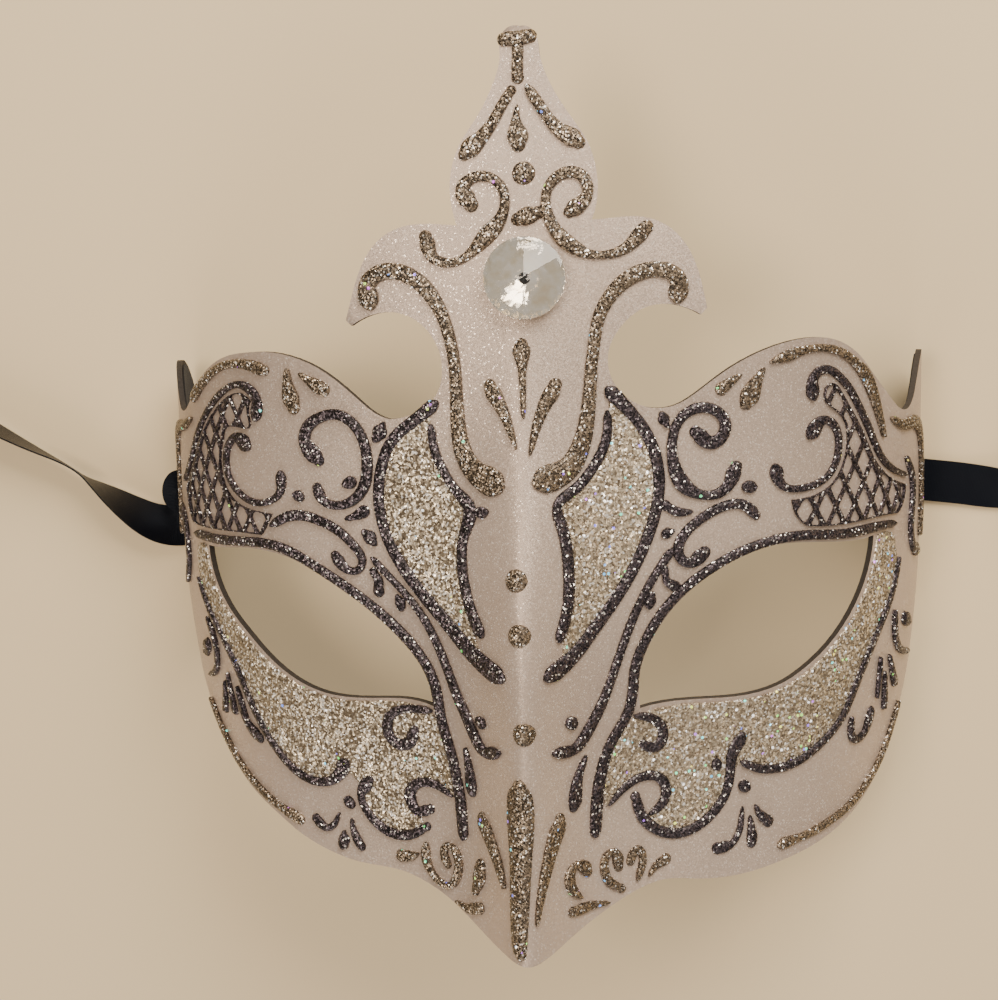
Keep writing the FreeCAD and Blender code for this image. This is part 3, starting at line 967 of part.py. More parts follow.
def ribbon_tube(points):
    radii = cord_radii(points)
    path = Part.Wire(run_edges(points, radii))
    start = Part.Wire([Part.makeCircle(ribbon_width / 2, points[0], points[1] - points[0])])
    tube = path.makePipeShell([start], True, False)
    section = math.pi * (ribbon_width / 2) ** 2
    print("tube radii", [round(r, 1) for r in radii], "length", round(path.Length, 2),
          "volume over section times length", round(tube.Volume / section / path.Length, 5))
    return tube


def ribbon_coil(name, end):
    """The ring that a coil fills, with the straight ribbon that leads into it."""
    way = heading(name)
    across = V(-way.y, way.x, 0)
    base = V(end.x, end.y, end.z - ribbon_width / 2)
    centre = base + way * coil_lead + across * coil_radius
    outer = Part.makeCylinder(coil_radius + ribbon_width / 2, ribbon_width, centre)
    inner = Part.makeCylinder(coil_radius - ribbon_width / 2, ribbon_width, centre)
    half = across * (0.45 * ribbon_width)
    past = base + way * (coil_lead + 0.2 * ribbon_width)
    lead = flat([base + half, past + half, past - half, base - half])
    ring_solid = outer.fuse(lead.extrude(V(0, 0, ribbon_width))).cut(inner)
    return ring_solid.Solids[0], centre


def ribbon_tie(centre, side):
    """A band over a coil, on the side away from the mask."""
    far = coil_radius + ribbon_width / 2 + tie_gap
    near = coil_radius - ribbon_width / 2 - tie_gap
    top = ribbon_width + tie_gap
    profile = [(near - tie_wall, 0), (near, 0), (near, top), (far, top), (far, 0),
               (far + tie_wall, 0), (far + tie_wall, top + tie_wall),
               (near - tie_wall, top + tie_wall)]
    face = flat([centre + V(side * r, 0, z) for r, z in profile])
    return face.revolve(centre, V(0, 0, 1), math.degrees(tie_width / coil_radius))


# Pieces

def beads(lines):
    return Part.makeCompound([bead(line) for line in lines])


worn = {
    "mask_shell": plate([outline, eye_left, eye_right], -shell_wall, 0.0),
    "inner_lining": plate([inset(outline, lining_inset), inset(eye_left, -lining_inset),
                           inset(eye_right, -lining_inset)],
                          lining_floor, lining_floor + lining_wall),
    "crystal": crystal(),
    "crystal_foil": foil(),
    "crystal_pad": crystal_pad(),
}
panels = {"petal_panel_left": petal_left, "petal_panel_right": petal_right,
          "cheek_panel_left": cheek_left, "cheek_panel_right": cheek_right}
for name, loop in panels.items():
    worn[name] = plate([loop], glue_line, glue_line + film_wall)
for name, loop in {"net_left": net_left, "net_right": net_right}.items():
    worn[name] = plate([loop] + diamonds(loop), bead_floor, bead_floor + 0.8 * bead_height)
for name, lines in list(silver.items()) + list(pewter.items()):
    worn[name] = beads(lines)

pieces = {name: placed(shape) for name, shape in worn.items()}
for name, side in {"left": -1, "right": 1}.items():
    route = ribbon_route(name, side)
    coil, coil_centre = ribbon_coil(name, route[-1])
    pieces["ribbon_root_" + name] = ribbon_root(side, ribbon_level[name])
    pieces["ribbon_patch_" + name] = ribbon_patch(side, ribbon_level[name])
    pieces["ribbon_" + name] = ribbon_tube(route)
    pieces["ribbon_coil_" + name] = coil
    pieces["ribbon_tie_" + name] = ribbon_tie(coil_centre, side)

for name, shape in pieces.items():
    if not shape.isValid():
        print("not valid:", name)
    shape.exportStep("parts/" + name + ".step")
print(len(pieces), "pieces, lean", round(math.degrees(lean), 2))
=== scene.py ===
import heapq
import math

import bmesh
import bpy
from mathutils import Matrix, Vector
from mathutils.bvhtree import BVHTree


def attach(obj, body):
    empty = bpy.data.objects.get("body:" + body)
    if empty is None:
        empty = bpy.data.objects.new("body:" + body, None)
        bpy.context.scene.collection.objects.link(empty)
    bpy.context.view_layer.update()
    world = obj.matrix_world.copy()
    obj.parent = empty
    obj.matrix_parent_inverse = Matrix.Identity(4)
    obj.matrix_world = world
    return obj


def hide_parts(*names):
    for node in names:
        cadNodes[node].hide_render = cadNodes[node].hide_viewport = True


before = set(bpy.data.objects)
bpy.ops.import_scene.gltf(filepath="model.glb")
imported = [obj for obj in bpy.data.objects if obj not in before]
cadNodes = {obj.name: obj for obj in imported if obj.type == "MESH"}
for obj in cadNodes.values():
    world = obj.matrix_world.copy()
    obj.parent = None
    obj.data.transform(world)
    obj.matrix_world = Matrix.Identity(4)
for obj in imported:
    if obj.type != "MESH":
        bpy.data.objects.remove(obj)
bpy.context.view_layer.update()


# Camera, floor and lights

view = {"place": (0.0306, 0.0722, 0.4283), "turn": (-11.65, 5.40, -1.53), "lens": 64.8,
        "sensor": 36, "near": 0.01}
lamps = {
    "windowLight": {"place": (0.32, 0.68, 0.58), "aim": (0, 0, 0.04), "size": 0.60, "watts": 11.5,
                    "colour": (1.0, 0.89, 0.76)},
    "ceilingLight": {"place": (-0.28, 0.20, 0.95), "aim": (0, 0, 0.04), "size": 0.30, "watts": 4.0,
                     "colour": (1.0, 0.83, 0.66)},
    "roomLight": {"place": (-0.10, -0.85, 0.45), "aim": (0, 0, 0.04), "size": 0.6, "watts": 4.4,
                  "colour": (1.0, 0.90, 0.80)},
}
room = {"colour": (0.95, 0.84, 0.71), "strength": 0.36, "floor": (0.82, 0.67, 0.43),
        "floorRoughness": 0.55, "floorSize": 6, "floorHeight": -0.0005}


def addCamera():
    turn = [math.radians(angle) for angle in view["turn"]]
    bpy.ops.object.camera_add(location=view["place"], rotation=turn)
    camera = bpy.context.object
    camera.data.lens = view["lens"]
    camera.data.sensor_width = view["sensor"]
    camera.data.clip_start = view["near"]
    bpy.context.scene.camera = camera


def addLamps():
    for name, lamp in lamps.items():
        bpy.ops.object.light_add(type="AREA", location=lamp["place"])
        light = bpy.context.object
        light.name = name
        light.data.size = lamp["size"]
        light.data.energy = lamp["watts"]
        light.data.color = lamp["colour"]
        away = Vector(lamp["place"]) - Vector(lamp["aim"])
        light.rotation_euler = away.to_track_quat("Z", "Y").to_euler()
    world = bpy.data.worlds.new("room")
    world.use_nodes = True
    sky = world.node_tree.nodes["Background"]
    sky.inputs["Color"].default_value = (*room["colour"], 1)
    sky.inputs["Strength"].default_value = room["strength"]
    bpy.context.scene.world = world


# Node helpers and the shared shader groups

def startMaterial(name):
    material = bpy.data.materials.new(name)
    material.use_nodes = True
    tree = material.node_tree
    shader = tree.nodes["Principled BSDF"]
    return material, tree, shader


def setSockets(node, values):
    for key, value in values.items():
        node.inputs[key].default_value = value


def addNode(tree, kind, values=None, **settings):
    node = tree.nodes.new(kind)
    for key, value in settings.items():
        setattr(node, key, value)
    setSockets(node, values or {})
    return node


def join(tree, source, socket, target, entry):
    tree.links.new(source.outputs[socket], target.inputs[entry])


def startGroup(name, inputs, outputs):
    group = bpy.data.node_groups.new(name, "ShaderNodeTree")
    for label, kind, value in inputs:
        made = group.interface.new_socket(name=label, in_out="INPUT", socket_type=kind)
        if value is not None:
            made.default_value = value
    for label, kind in outputs:
        group.interface.new_socket(name=label, in_out="OUTPUT", socket_type=kind)
    return group, group.nodes.new("NodeGroupInput"), group.nodes.new("NodeGroupOutput")


def mathNode(tree, operation, a=None, b=None):
    node = addNode(tree, "ShaderNodeMath", operation=operation)
    for place, value in ((0, a), (1, b)):
        if value is None:
            continue
        if isinstance(value, (int, float)):
            node.inputs[place].default_value = value
        else:
            tree.links.new(value, node.inputs[place])
    return node


def mixColour(tree, share, first, second):
    node = addNode(tree, "ShaderNodeMix", data_type="RGBA")
    for entry, kind, value in (("Factor", "VALUE", share), ("A", "RGBA", first), ("B", "RGBA", second)):
        socket = next(s for s in node.inputs if s.name == entry and s.type == kind and s.enabled)
        if hasattr(value, "links"):
            tree.links.new(value, socket)
        else:
            socket.default_value = value
    return next(s for s in node.outputs if s.type == "RGBA")


flakeLook = {"contrast": 2.2, "pale": (0.97, 0.95, 0.92, 1), "sparkReach": 0.36,
             "hues": {"To Min": 0.13, "To Max": 0.80}, "whiteSparks": 0.25, "sparkDepth": 0.80,
             "roughSpread": 0.3, "roughLeast": 0.18}


def tiltFlakes(group, given, chance, out):
    # each flake leans away from the surface by its own draw
    centred = addNode(group, "ShaderNodeVectorMath", {1: (0.5, 0.5, 0.5)}, operation="SUBTRACT")
    join(group, chance, "Color", centred, 0)
    leaned = addNode(group, "ShaderNodeVectorMath", operation="SCALE")
    join(group, centred, "Vector", leaned, 0)
    join(group, given, "Tilt", leaned, "Scale")
    surface = addNode(group, "ShaderNodeNewGeometry")
    summed = addNode(group, "ShaderNodeVectorMath", operation="ADD")
    join(group, surface, "Normal", summed, 0)
    join(group, leaned, "Vector", summed, 1)
    unit = addNode(group, "ShaderNodeVectorMath", operation="NORMALIZE")
    join(group, summed, "Vector", unit, 0)
    join(group, unit, "Vector", out, "Normal")


def addSparks(group, given, pale, out):
    # a few flakes get a painted glint in one clear colour, put into their base colour and into a colour for
    # their painted glow
    flashes = addNode(group, "ShaderNodeTexVoronoi", feature="F1")
    join(group, given, "Vector", flashes, "Vector")
    join(group, given, "Sparks per metre", flashes, "Scale")
    draw = addNode(group, "ShaderNodeSeparateColor")
    join(group, flashes, "Color", draw, "Color")
    limit = mathNode(group, "SUBTRACT", 1.0, given.outputs["Glowing glint share"])
    chosen = mathNode(group, "GREATER_THAN", draw.outputs["Green"], limit.outputs[0])
    inside = mathNode(group, "LESS_THAN", flashes.outputs["Distance"], flakeLook["sparkReach"])
    flash = mathNode(group, "MULTIPLY", chosen.outputs[0], inside.outputs[0])
    hue = addNode(group, "ShaderNodeMapRange", flakeLook["hues"])
    join(group, draw, "Red", hue, "Value")
    strong = mathNode(group, "GREATER_THAN", draw.outputs["Blue"], flakeLook["whiteSparks"])
    depth = mathNode(group, "MULTIPLY", strong.outputs[0], flakeLook["sparkDepth"])
    tint = addNode(group, "ShaderNodeCombineColor", {"Blue": 1.0}, mode="HSV")
    join(group, hue, "Result", tint, "Red")
    join(group, depth, 0, tint, "Green")
    final = mixColour(group, flash.outputs[0], pale, tint.outputs["Color"])
    group.links.new(final, out.inputs["Color"])
    lit = mixColour(group, flash.outputs[0], (0, 0, 0, 1), tint.outputs["Color"])
    group.links.new(lit, out.inputs["Painted glint glow"])


def makeFlakeGroup():
    # flakes in random tilts: a Voronoi cell is one flake
    group, given, out = startGroup(
        "glitterFlakes",
        [("Vector", "NodeSocketVector", None), ("Flakes per metre", "NodeSocketFloat", 2200.0),
         ("Tilt", "NodeSocketFloat", 0.7), ("Dark", "NodeSocketColor", (0.1, 0.1, 0.1, 1)),
         ("Light", "NodeSocketColor", (0.6, 0.6, 0.6, 1)), ("Painted white glints", "NodeSocketFloat", 0.05),
         ("Glowing glint share", "NodeSocketFloat", 0.05), ("Sparks per metre", "NodeSocketFloat", 1100.0)],
        [("Color", "NodeSocketColor"), ("Roughness", "NodeSocketFloat"), ("Normal", "NodeSocketVector"),
         ("Spark", "NodeSocketFloat"), ("Painted glint glow", "NodeSocketColor")])
    cells = addNode(group, "ShaderNodeTexVoronoi", feature="F1")
    join(group, given, "Vector", cells, "Vector")
    join(group, given, "Flakes per metre", cells, "Scale")
    chance = addNode(group, "ShaderNodeTexWhiteNoise", noise_dimensions="3D")
    join(group, cells, "Position", chance, "Vector")
    split = addNode(group, "ShaderNodeSeparateColor")
    join(group, chance, "Color", split, "Color")
    second = addNode(group, "ShaderNodeSeparateColor")
    join(group, cells, "Color", second, "Color")
    tiltFlakes(group, given, chance, out)

    shade = mathNode(group, "POWER", split.outputs["Red"], flakeLook["contrast"])
    body = mixColour(group, shade.outputs[0], given.outputs["Dark"], given.outputs["Light"])
    # a share of flakes is painted pale as white glints in the base colour
    edge = mathNode(group, "SUBTRACT", 1.0, given.outputs["Painted white glints"])
    glinting = mathNode(group, "GREATER_THAN", split.outputs["Blue"], edge.outputs[0])
    pale = mixColour(group, glinting.outputs[0], body, flakeLook["pale"])
    join(group, glinting, 0, out, "Spark")
    addSparks(group, given, pale, out)

    rough = mathNode(group, "MULTIPLY", second.outputs["Green"], flakeLook["roughSpread"])
    rougher = mathNode(group, "ADD", rough.outputs[0], flakeLook["roughLeast"])
    join(group, rougher, 0, out, "Roughness")
    return group


grainLook = {"fine": {"Detail": 3.0, "Roughness": 0.6}, "broad": {"Detail": 2.0},
             "blend": {"From Min": 0.7, "From Max": 1.3, "To Min": 0.0, "To Max": 1.0},
             "rough": {"From Min": 0.3, "From Max": 0.7, "To Min": 0.34, "To Max": 0.52}}


def makeGrainGroup():
    # soft mottling and a fine tooth for paint, flock and felt
    group, given, out = startGroup(
        "fineGrain",
        [("Vector", "NodeSocketVector", None), ("Grains per metre", "NodeSocketFloat", 3000.0),
         ("Low", "NodeSocketColor", (0.5, 0.5, 0.5, 1)), ("High", "NodeSocketColor", (0.6, 0.6, 0.6, 1)),
         ("Patches per metre", "NodeSocketFloat", 40.0)],
        [("Color", "NodeSocketColor"), ("Height", "NodeSocketFloat"), ("Roughness", "NodeSocketFloat")])
    fine = addNode(group, "ShaderNodeTexNoise", grainLook["fine"])
    join(group, given, "Vector", fine, "Vector")
    join(group, given, "Grains per metre", fine, "Scale")
    broad = addNode(group, "ShaderNodeTexNoise", grainLook["broad"])
    join(group, given, "Vector", broad, "Vector")
    join(group, given, "Patches per metre", broad, "Scale")
    blend = mathNode(group, "ADD", fine.outputs[0], broad.outputs[0])
    share = addNode(group, "ShaderNodeMapRange", grainLook["blend"])
    join(group, blend, 0, share, "Value")
    colour = mixColour(group, share.outputs["Result"], given.outputs["Low"], given.outputs["High"])
    group.links.new(colour, out.inputs["Color"])
    join(group, fine, 0, out, "Height")
    rough = addNode(group, "ShaderNodeMapRange", grainLook["rough"])
    join(group, fine, 0, rough, "Value")
    join(group, rough, "Result", out, "Roughness")
    return group


flakeGroup = makeFlakeGroup()
grainGroup = makeGrainGroup()


def placeGroup(tree, group, values):
    where = addNode(tree, "ShaderNodeTexCoord")
    node = addNode(tree, "ShaderNodeGroup", node_tree=group)
    setSockets(node, values)
    join(tree, where, "Object", node, "Vector")
    return node


def addBump(tree, source, socket, shader, strength, distance, under=None):
    bump = addNode(tree, "ShaderNodeBump", {"Strength": strength, "Distance": distance})
    join(tree, source, socket, bump, "Height")
    if under:
        join(tree, under[0], under[1], bump, "Normal")
    join(tree, bump, "Normal", shader, "Normal")


# Finishes

glitters = {
    "silver": {"Flakes per metre": 3300.0, "Tilt": 1.05, "Dark": (0.042, 0.031, 0.022, 1),
               "Light": (0.47, 0.375, 0.275, 1), "Painted white glints": 0.05, "Glowing glint share": 0.03},
    "pewter": {"Flakes per metre": 3000.0, "Tilt": 1.05, "Dark": (0.010, 0.008, 0.012, 1),
               "Light": (0.165, 0.135, 0.155, 1), "Painted white glints": 0.045, "Glowing glint share": 0.006},
    "panel": {"Flakes per metre": 2300.0, "Tilt": 0.95, "Dark": (0.19, 0.148, 0.102, 1),
              "Light": (0.93, 0.82, 0.64, 1), "Painted white glints": 0.10, "Glowing glint share": 0.05},
}
# how strongly the painted glints glow
glintGlow = {"silver": 0.8, "pewter": 0.6, "panel": 1.1}
metalShare = {"silver": 0.75, "pewter": 0.75, "panel": 0.6}
glitterCoat = {"Coat Weight": 0.25, "Coat Roughness": 0.3}
litSideGlints = {"From Min": -0.03, "From Max": 0.085, "To Min": 0.012, "To Max": 0.16}


def makeGlitter(name):
    material, tree, shader = startMaterial(name + "Glitter")
    flakes = placeGroup(tree, flakeGroup, glitters[name])
    join(tree, flakes, "Color", shader, "Base Color")
    join(tree, flakes, "Roughness", shader, "Roughness")
    join(tree, flakes, "Normal", shader, "Normal")
    if name == "panel":
        # painted coloured glints gather on the viewer's right, the side the light comes from
        where = addNode(tree, "ShaderNodeTexCoord")
        split = addNode(tree, "ShaderNodeSeparateXYZ")
        join(tree, where, "Object", split, "Vector")
        more = addNode(tree, "ShaderNodeMapRange", litSideGlints)
        join(tree, split, "X", more, "Value")
        join(tree, more, "Result", flakes, "Glowing glint share")
    # the painted glints glow with light of their own
    join(tree, flakes, "Painted glint glow", shader, "Emission Color")
    setSockets(shader, {"Emission Strength": glintGlow[name], "Metallic": metalShare[name], **glitterCoat})
    return material


paint = {
    "grain": {"Grains per metre": 2600.0, "Low": (0.425, 0.345, 0.290, 1), "High": (0.545, 0.445, 0.375, 1),
              "Patches per metre": 22.0},
    "flakes": {"Flakes per metre": 4600.0, "Tilt": 0.26, "Painted white glints": 0.06, "Glowing glint share": 0.0},
    "pearl": (0.74, 0.66, 0.60, 1), "flakeGloss": -0.22, "bump": (0.25, 0.00008),
    "coat": {"Metallic": 0.35, "Coat Weight": 0.15, "Coat Roughness": 0.4},
}
# the paint is darker round this point at the tip of the nose
darkTip = {"place": (0.0005, -0.0925, 0.0790), "colour": (0.035, 0.026, 0.020, 1),
           "fade": {"From Min": 0.0012, "From Max": 0.0036, "To Min": 1.0, "To Max": 0.0}}


def makePaint():
    # pearl paint with fine flakes, some painted pale as glints, dark at the tip of the nose
    material, tree, shader = startMaterial("pearlPaint")
    grain = placeGroup(tree, grainGroup, paint["grain"])
    flakes = placeGroup(tree, flakeGroup, paint["flakes"])
    # the pearl paint's flakes are painted pale glints in the base colour
    pearl = mixColour(tree, flakes.outputs["Spark"], grain.outputs["Color"], paint["pearl"])
    where = addNode(tree, "ShaderNodeTexCoord")
    gap = addNode(tree, "ShaderNodeVectorMath", {1: darkTip["place"]}, operation="DISTANCE")
    join(tree, where, "Object", gap, 0)
    tipShare = addNode(tree, "ShaderNodeMapRange", darkTip["fade"])
    join(tree, gap, "Value", tipShare, "Value")
    colour = mixColour(tree, tipShare.outputs["Result"], pearl, darkTip["colour"])
    tree.links.new(colour, shader.inputs["Base Color"])
    gloss = mathNode(tree, "MULTIPLY", flakes.outputs["Spark"], paint["flakeGloss"])
    rough = mathNode(tree, "ADD", gloss.outputs[0], grain.outputs["Roughness"])
    join(tree, rough, 0, shader, "Roughness")
    addBump(tree, grain, "Height", shader, *paint["bump"], under=(flakes, "Normal"))
    setSockets(shader, paint["coat"])
    return material


# plain surfaces with a grain: low and high are the two ends of its colour
grained = {
    "edge": {"name": "cutEdge", "grains": 1800.0, "low": (0.014, 0.011, 0.009, 1),
             "high": (0.045, 0.037, 0.030, 1), "roughness": 0.8, "sheen": 0.0},
    "flock": {"name": "blackFlock", "grains": 4200.0, "low": (0.006, 0.006, 0.007, 1),
              "high": (0.016, 0.015, 0.015, 1), "roughness": 0.95, "sheen": 0.05},
    "felt": {"name": "blackFelt", "grains": 1500.0, "low": (0.008, 0.008, 0.009, 1),
             "high": (0.02, 0.02, 0.02, 1), "roughness": 0.95, "sheen": 0.05},
    "thread": {"name": "blackThread", "grains": 2500.0, "low": (0.010, 0.010, 0.014, 1),
               "high": (0.025, 0.025, 0.028, 1), "roughness": 0.7, "sheen": 0.05},
    "glue": {"name": "clearGlue", "grains": 800.0, "low": (0.55, 0.54, 0.50, 1),
             "high": (0.70, 0.69, 0.66, 1), "roughness": 0.3, "sheen": 0.0},
}
grainedBump = (0.6, 0.0002)


def makeGrained(values):
    material, tree, shader = startMaterial(values["name"])
    grain = placeGroup(tree, grainGroup, {"Grains per metre": values["grains"], "Low": values["low"],
                                          "High": values["high"]})
    join(tree, grain, "Color", shader, "Base Color")
    addBump(tree, grain, "Height", shader, *grainedBump)
    setSockets(shader, {"Roughness": values["roughness"], "Sheen Weight": values["sheen"]})
    return material


satin = {
    "warp": {"Scale": 14.0, "Distortion": 0.4, "Detail": 1.0}, "warpShare": 0.6,
    "weft": {"Scale": 9.0, "Distortion": 0.6, "Detail": 1.0}, "bump": (0.35, 0.00008),
    "low": (0.0010, 0.0011, 0.0016, 1), "high": (0.0024, 0.0034, 0.0085, 1),
    "gloss": {"Roughness": 0.42, "Specular IOR Level": 0.20, "Specular Tint": (0.70, 0.82, 1.0, 1),
              "Anisotropic": 0.5},
}


def makeSatin():
    # warp threads run along the ribbon and weft across it
    material, tree, shader = startMaterial("blackSatin")
    where = addNode(tree, "ShaderNodeTexCoord")
    warp = addNode(tree, "ShaderNodeTexWave", satin["warp"], bands_direction="X")
    join(tree, where, "UV", warp, "Vector")
    weft = addNode(tree, "ShaderNodeTexWave", satin["weft"], bands_direction="Y")
    join(tree, where, "UV", weft, "Vector")
    weave = mathNode(tree, "MULTIPLY", warp.outputs["Fac"], satin["warpShare"])
    woven = mathNode(tree, "ADD", weave.outputs[0], weft.outputs["Fac"])
    colour = mixColour(tree, weft.outputs["Fac"], satin["low"], satin["high"])
    tree.links.new(colour, shader.inputs["Base Color"])
    addBump(tree, woven, 0, shader, *satin["bump"])
    setSockets(shader, satin["gloss"])
    return material


glass = {"haze": {"Scale": 900.0, "Detail": 2.0}, "roughness": {"To Min": 0.0, "To Max": 0.03},
         "body": {"Base Color": (0.98, 0.98, 1.0, 1), "Transmission Weight": 1.0, "IOR": 1.62}}


def makeCrystalGlass():
    material, tree, shader = startMaterial("crystalGlass")
    where = addNode(tree, "ShaderNodeTexCoord")
    haze = addNode(tree, "ShaderNodeTexNoise", glass["haze"])
    join(tree, where, "Object", haze, "Vector")
    soft = addNode(tree, "ShaderNodeMapRange", glass["roughness"])
    join(tree, haze, 0, soft, "Value")
    join(tree, soft, "Result", shader, "Roughness")
    setSockets(shader, glass["body"])
    return material


foil = {"grain": {"Grains per metre": 700.0, "Low": (0.80, 0.66, 0.44, 1), "High": (1.0, 0.93, 0.80, 1),
                  "Patches per metre": 260.0},
        "bump": (0.08, 0.0001),
        "mirror": {"Emission Strength": 0.30, "Metallic": 1.0, "Roughness": 0.08}}


def makeFoil():
    # the mirror gives off a little light, as the room it returns is brighter than the one here
    material, tree, shader = startMaterial("mirrorFoil")
    grain = placeGroup(tree, grainGroup, foil["grain"])
    join(tree, grain, "Color", shader, "Base Color")
    addBump(tree, grain, "Height", shader, *foil["bump"])
    join(tree, grain, "Color", shader, "Emission Color")
    setSockets(shader, foil["mirror"])
    return material


finishes = {name: makeGlitter(name) for name in glitters}
finishes["paint"] = makePaint()
for name, values in grained.items():
    finishes[name] = makeGrained(values)
finishes["satin"] = makeSatin()
finishes["crystal"] = makeCrystalGlass()
finishes["foil"] = makeFoil()
print("finishes made", len(finishes))


# Helpers for pieces

def makeActive(piece):
    bpy.ops.object.select_all(action="DESELECT")
    piece.select_set(True)
    bpy.context.view_layer.objects.active = piece


def applyModifier(piece, kind, **settings):
    makeActive(piece)
    modifier = piece.modifiers.new(kind.lower(), kind)
    for key, value in settings.items():
        setattr(modifier, key, value)
    bpy.ops.object.modifier_apply(modifier=modifier.name)


def finishMesh(shape, name):
    bmesh.ops.recalc_face_normals(shape, faces=shape.faces)
    mesh = bpy.data.meshes.new(name)
    shape.to_mesh(mesh)
    shape.free()
    piece = bpy.data.objects.new(name, mesh)
    bpy.context.collection.objects.link(piece)
    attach(piece, "root")
    return piece


# Tie ribbons: flat where they leave the mask, on edge in their coils

ribbon = {"width": 0.010, "wall": 0.0003, "lift": 0.0004, "length": 0.40, "across": 10,
          "woven": 0.85, "wovenWall": 1.25, "uvPerMetre": 100, "smooth": 40, "steps": 12}
# the smooth path runs inside its points, so a coil's points stand a little outside its radius
coil = {"radius": 0.038, "turnPoints": 16, "turnStep": 0.0035, "spread": 0.0196}
# each row is x, y and how far the ribbon is turned up from lying flat
ribbonRoutes = {
    "left": {"points": [(-0.0886, -0.0208, 0), (-0.0915, -0.0212, 8), (-0.0950, -0.0205, 28),
                        (-0.0990, -0.0186, 50), (-0.1030, -0.0158, 66), (-0.1070, -0.0128, 80),
                        (-0.1110, -0.0098, 96), (-0.1145, -0.0074, 109), (-0.1190, -0.0044, 107),
                        (-0.1270, -0.0004, 98), (-0.1369, 0.0051, 90), (-0.1490, 0.0133, 90)],
             "centre": (-0.1830, -0.0096), "start": 56.0, "turns": 1.40},
    "right": {"points": [(0.0886, -0.0110, 0), (0.0960, -0.0117, 0), (0.1050, -0.0130, 5),
                         (0.1130, -0.0139, 40), (0.1210, -0.0144, 78), (0.1370, -0.0155, 90)],
              "centre": (0.1530, 0.0214), "start": -94.0, "turns": 1.52},
}


def edgeHeight(turned):
    return ribbon["lift"] + ribbon["width"] / 2 * abs(math.sin(math.radians(turned)))


def coilPoints(route):
    centre = Vector((*route["centre"], edgeHeight(90)))
    count = int(route["turns"] * coil["turnPoints"])
    points = []
    for k in range(count + 1):
        turn = k / coil["turnPoints"]
        angle = math.radians(route["start"]) + 2 * math.pi * turn
        radius = (coil["radius"] - coil["turnStep"] * turn) * (1 + coil["spread"] * min(1, k))
        points.append(tuple(centre + radius * Vector((math.cos(angle), math.sin(angle), 0))))
    return points


def smoothPath(name, points):
    curve = bpy.data.curves.new(name, "CURVE")
    curve.dimensions = "3D"
    curve.resolution_u = ribbon["steps"]
    spline = curve.splines.new("NURBS")
    spline.points.add(len(points) - 1)
    for point, place in zip(spline.points, points):
        point.co = (*place, 1)
    spline.order_u = 3
    spline.use_endpoint_u = True
    guide = bpy.data.objects.new(name, curve)
    bpy.context.collection.objects.link(guide)
    bpy.context.view_layer.update()
    mesh = bpy.data.meshes.new_from_object(guide)
    path = [v.co.copy() for v in mesh.vertices]
    bpy.data.objects.remove(guide)
    return path


def crossRow(place, wide, thick):
    # one closed row round the ribbon, a little thicker at its woven edges
    half, wall, across = ribbon["width"] / 2, ribbon["wall"] / 2, ribbon["across"]
    shares = [2 * j / across - 1 for j in range(across + 1)]
    row = []
    for face in (1, -1):
        for share in shares[::face]:
            thicker = ribbon["wovenWall"] if abs(share) > ribbon["woven"] else 1.0
            row.append(place + wide * half * share + thick * wall * thicker * face)
    return row


def sweepRibbon(shape, path, turns):
    rings, lengths = [], []
    travel = 0.0
    for k, (place, turned) in enumerate(zip(path, turns)):
        before, after = path[max(0, k - 1)], path[min(len(path) - 1, k + 1)]
        way = (after - before).normalized()
        flat = Vector((-way.y, way.x, 0)).normalized()
        tilt = math.radians(turned)
        wide = (flat * math.cos(tilt) + Vector((0, 0, 1)) * math.sin(tilt)).normalized()
        thick = way.cross(wide).normalized()
        place = Vector((place.x, place.y, edgeHeight(turned)))
        if k:
            travel += (place - path[k - 1]).length
        lengths.append(travel)
        rings.append([shape.verts.new(p) for p in crossRow(place, wide, thick)])
    return rings, lengths


def skinRibbon(shape, rings, lengths):
    uv = shape.loops.layers.uv.new("ribbonWeave")
    across, count = ribbon["across"], len(rings[0])
    for k in range(len(rings) - 1):
        for j in range(count):
            face = shape.faces.new([rings[k][j], rings[k][(j + 1) % count],
                                    rings[k + 1][(j + 1) % count], rings[k + 1][j]])
            corners = [(k, j), (k, j + 1), (k + 1, j + 1), (k + 1, j)]
            for loop, (row, column) in zip(face.loops, corners):
                column = column if column <= across else count - column
                loop[uv].uv = (column / across, lengths[row] * ribbon["uvPerMetre"])
    for ring in (rings[0], rings[-1]):
        shape.faces.new(ring)


def makeRibbon(side, route):
    lead = [(x, y, edgeHeight(turned)) for x, y, turned in route["points"]]
    rolled = coilPoints(route)
    path = smoothPath("guide", lead + rolled)
    # a second guide carries the turns along the same knots
    turnPoints = [(turned, 0, 0) for _, _, turned in route["points"]] + [(90, 0, 0)] * len(rolled)
    turns = [point.x for point in smoothPath("turns", turnPoints)]
    shape = bmesh.new()
    rings, lengths = sweepRibbon(shape, path, turns)
    skinRibbon(shape, rings, lengths)
    piece = finishMesh(shape, "ribbon_" + side + "_satin")
    makeActive(piece)
    bpy.ops.object.shade_smooth_by_angle(angle=math.radians(ribbon["smooth"]))
    piece.data.materials.append(finishes["satin"])
    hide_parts("ribbon_" + side, "ribbon_coil_" + side)
    print("ribbon", side, "length", round(lengths[-1], 4))


fold = {"place": (-0.0908, -0.0116, 0.0052), "half": (0.0040, 0.0052), "lean": 30, "wall": 0.0004,
        "bulge": 0.0006, "corners": 64}


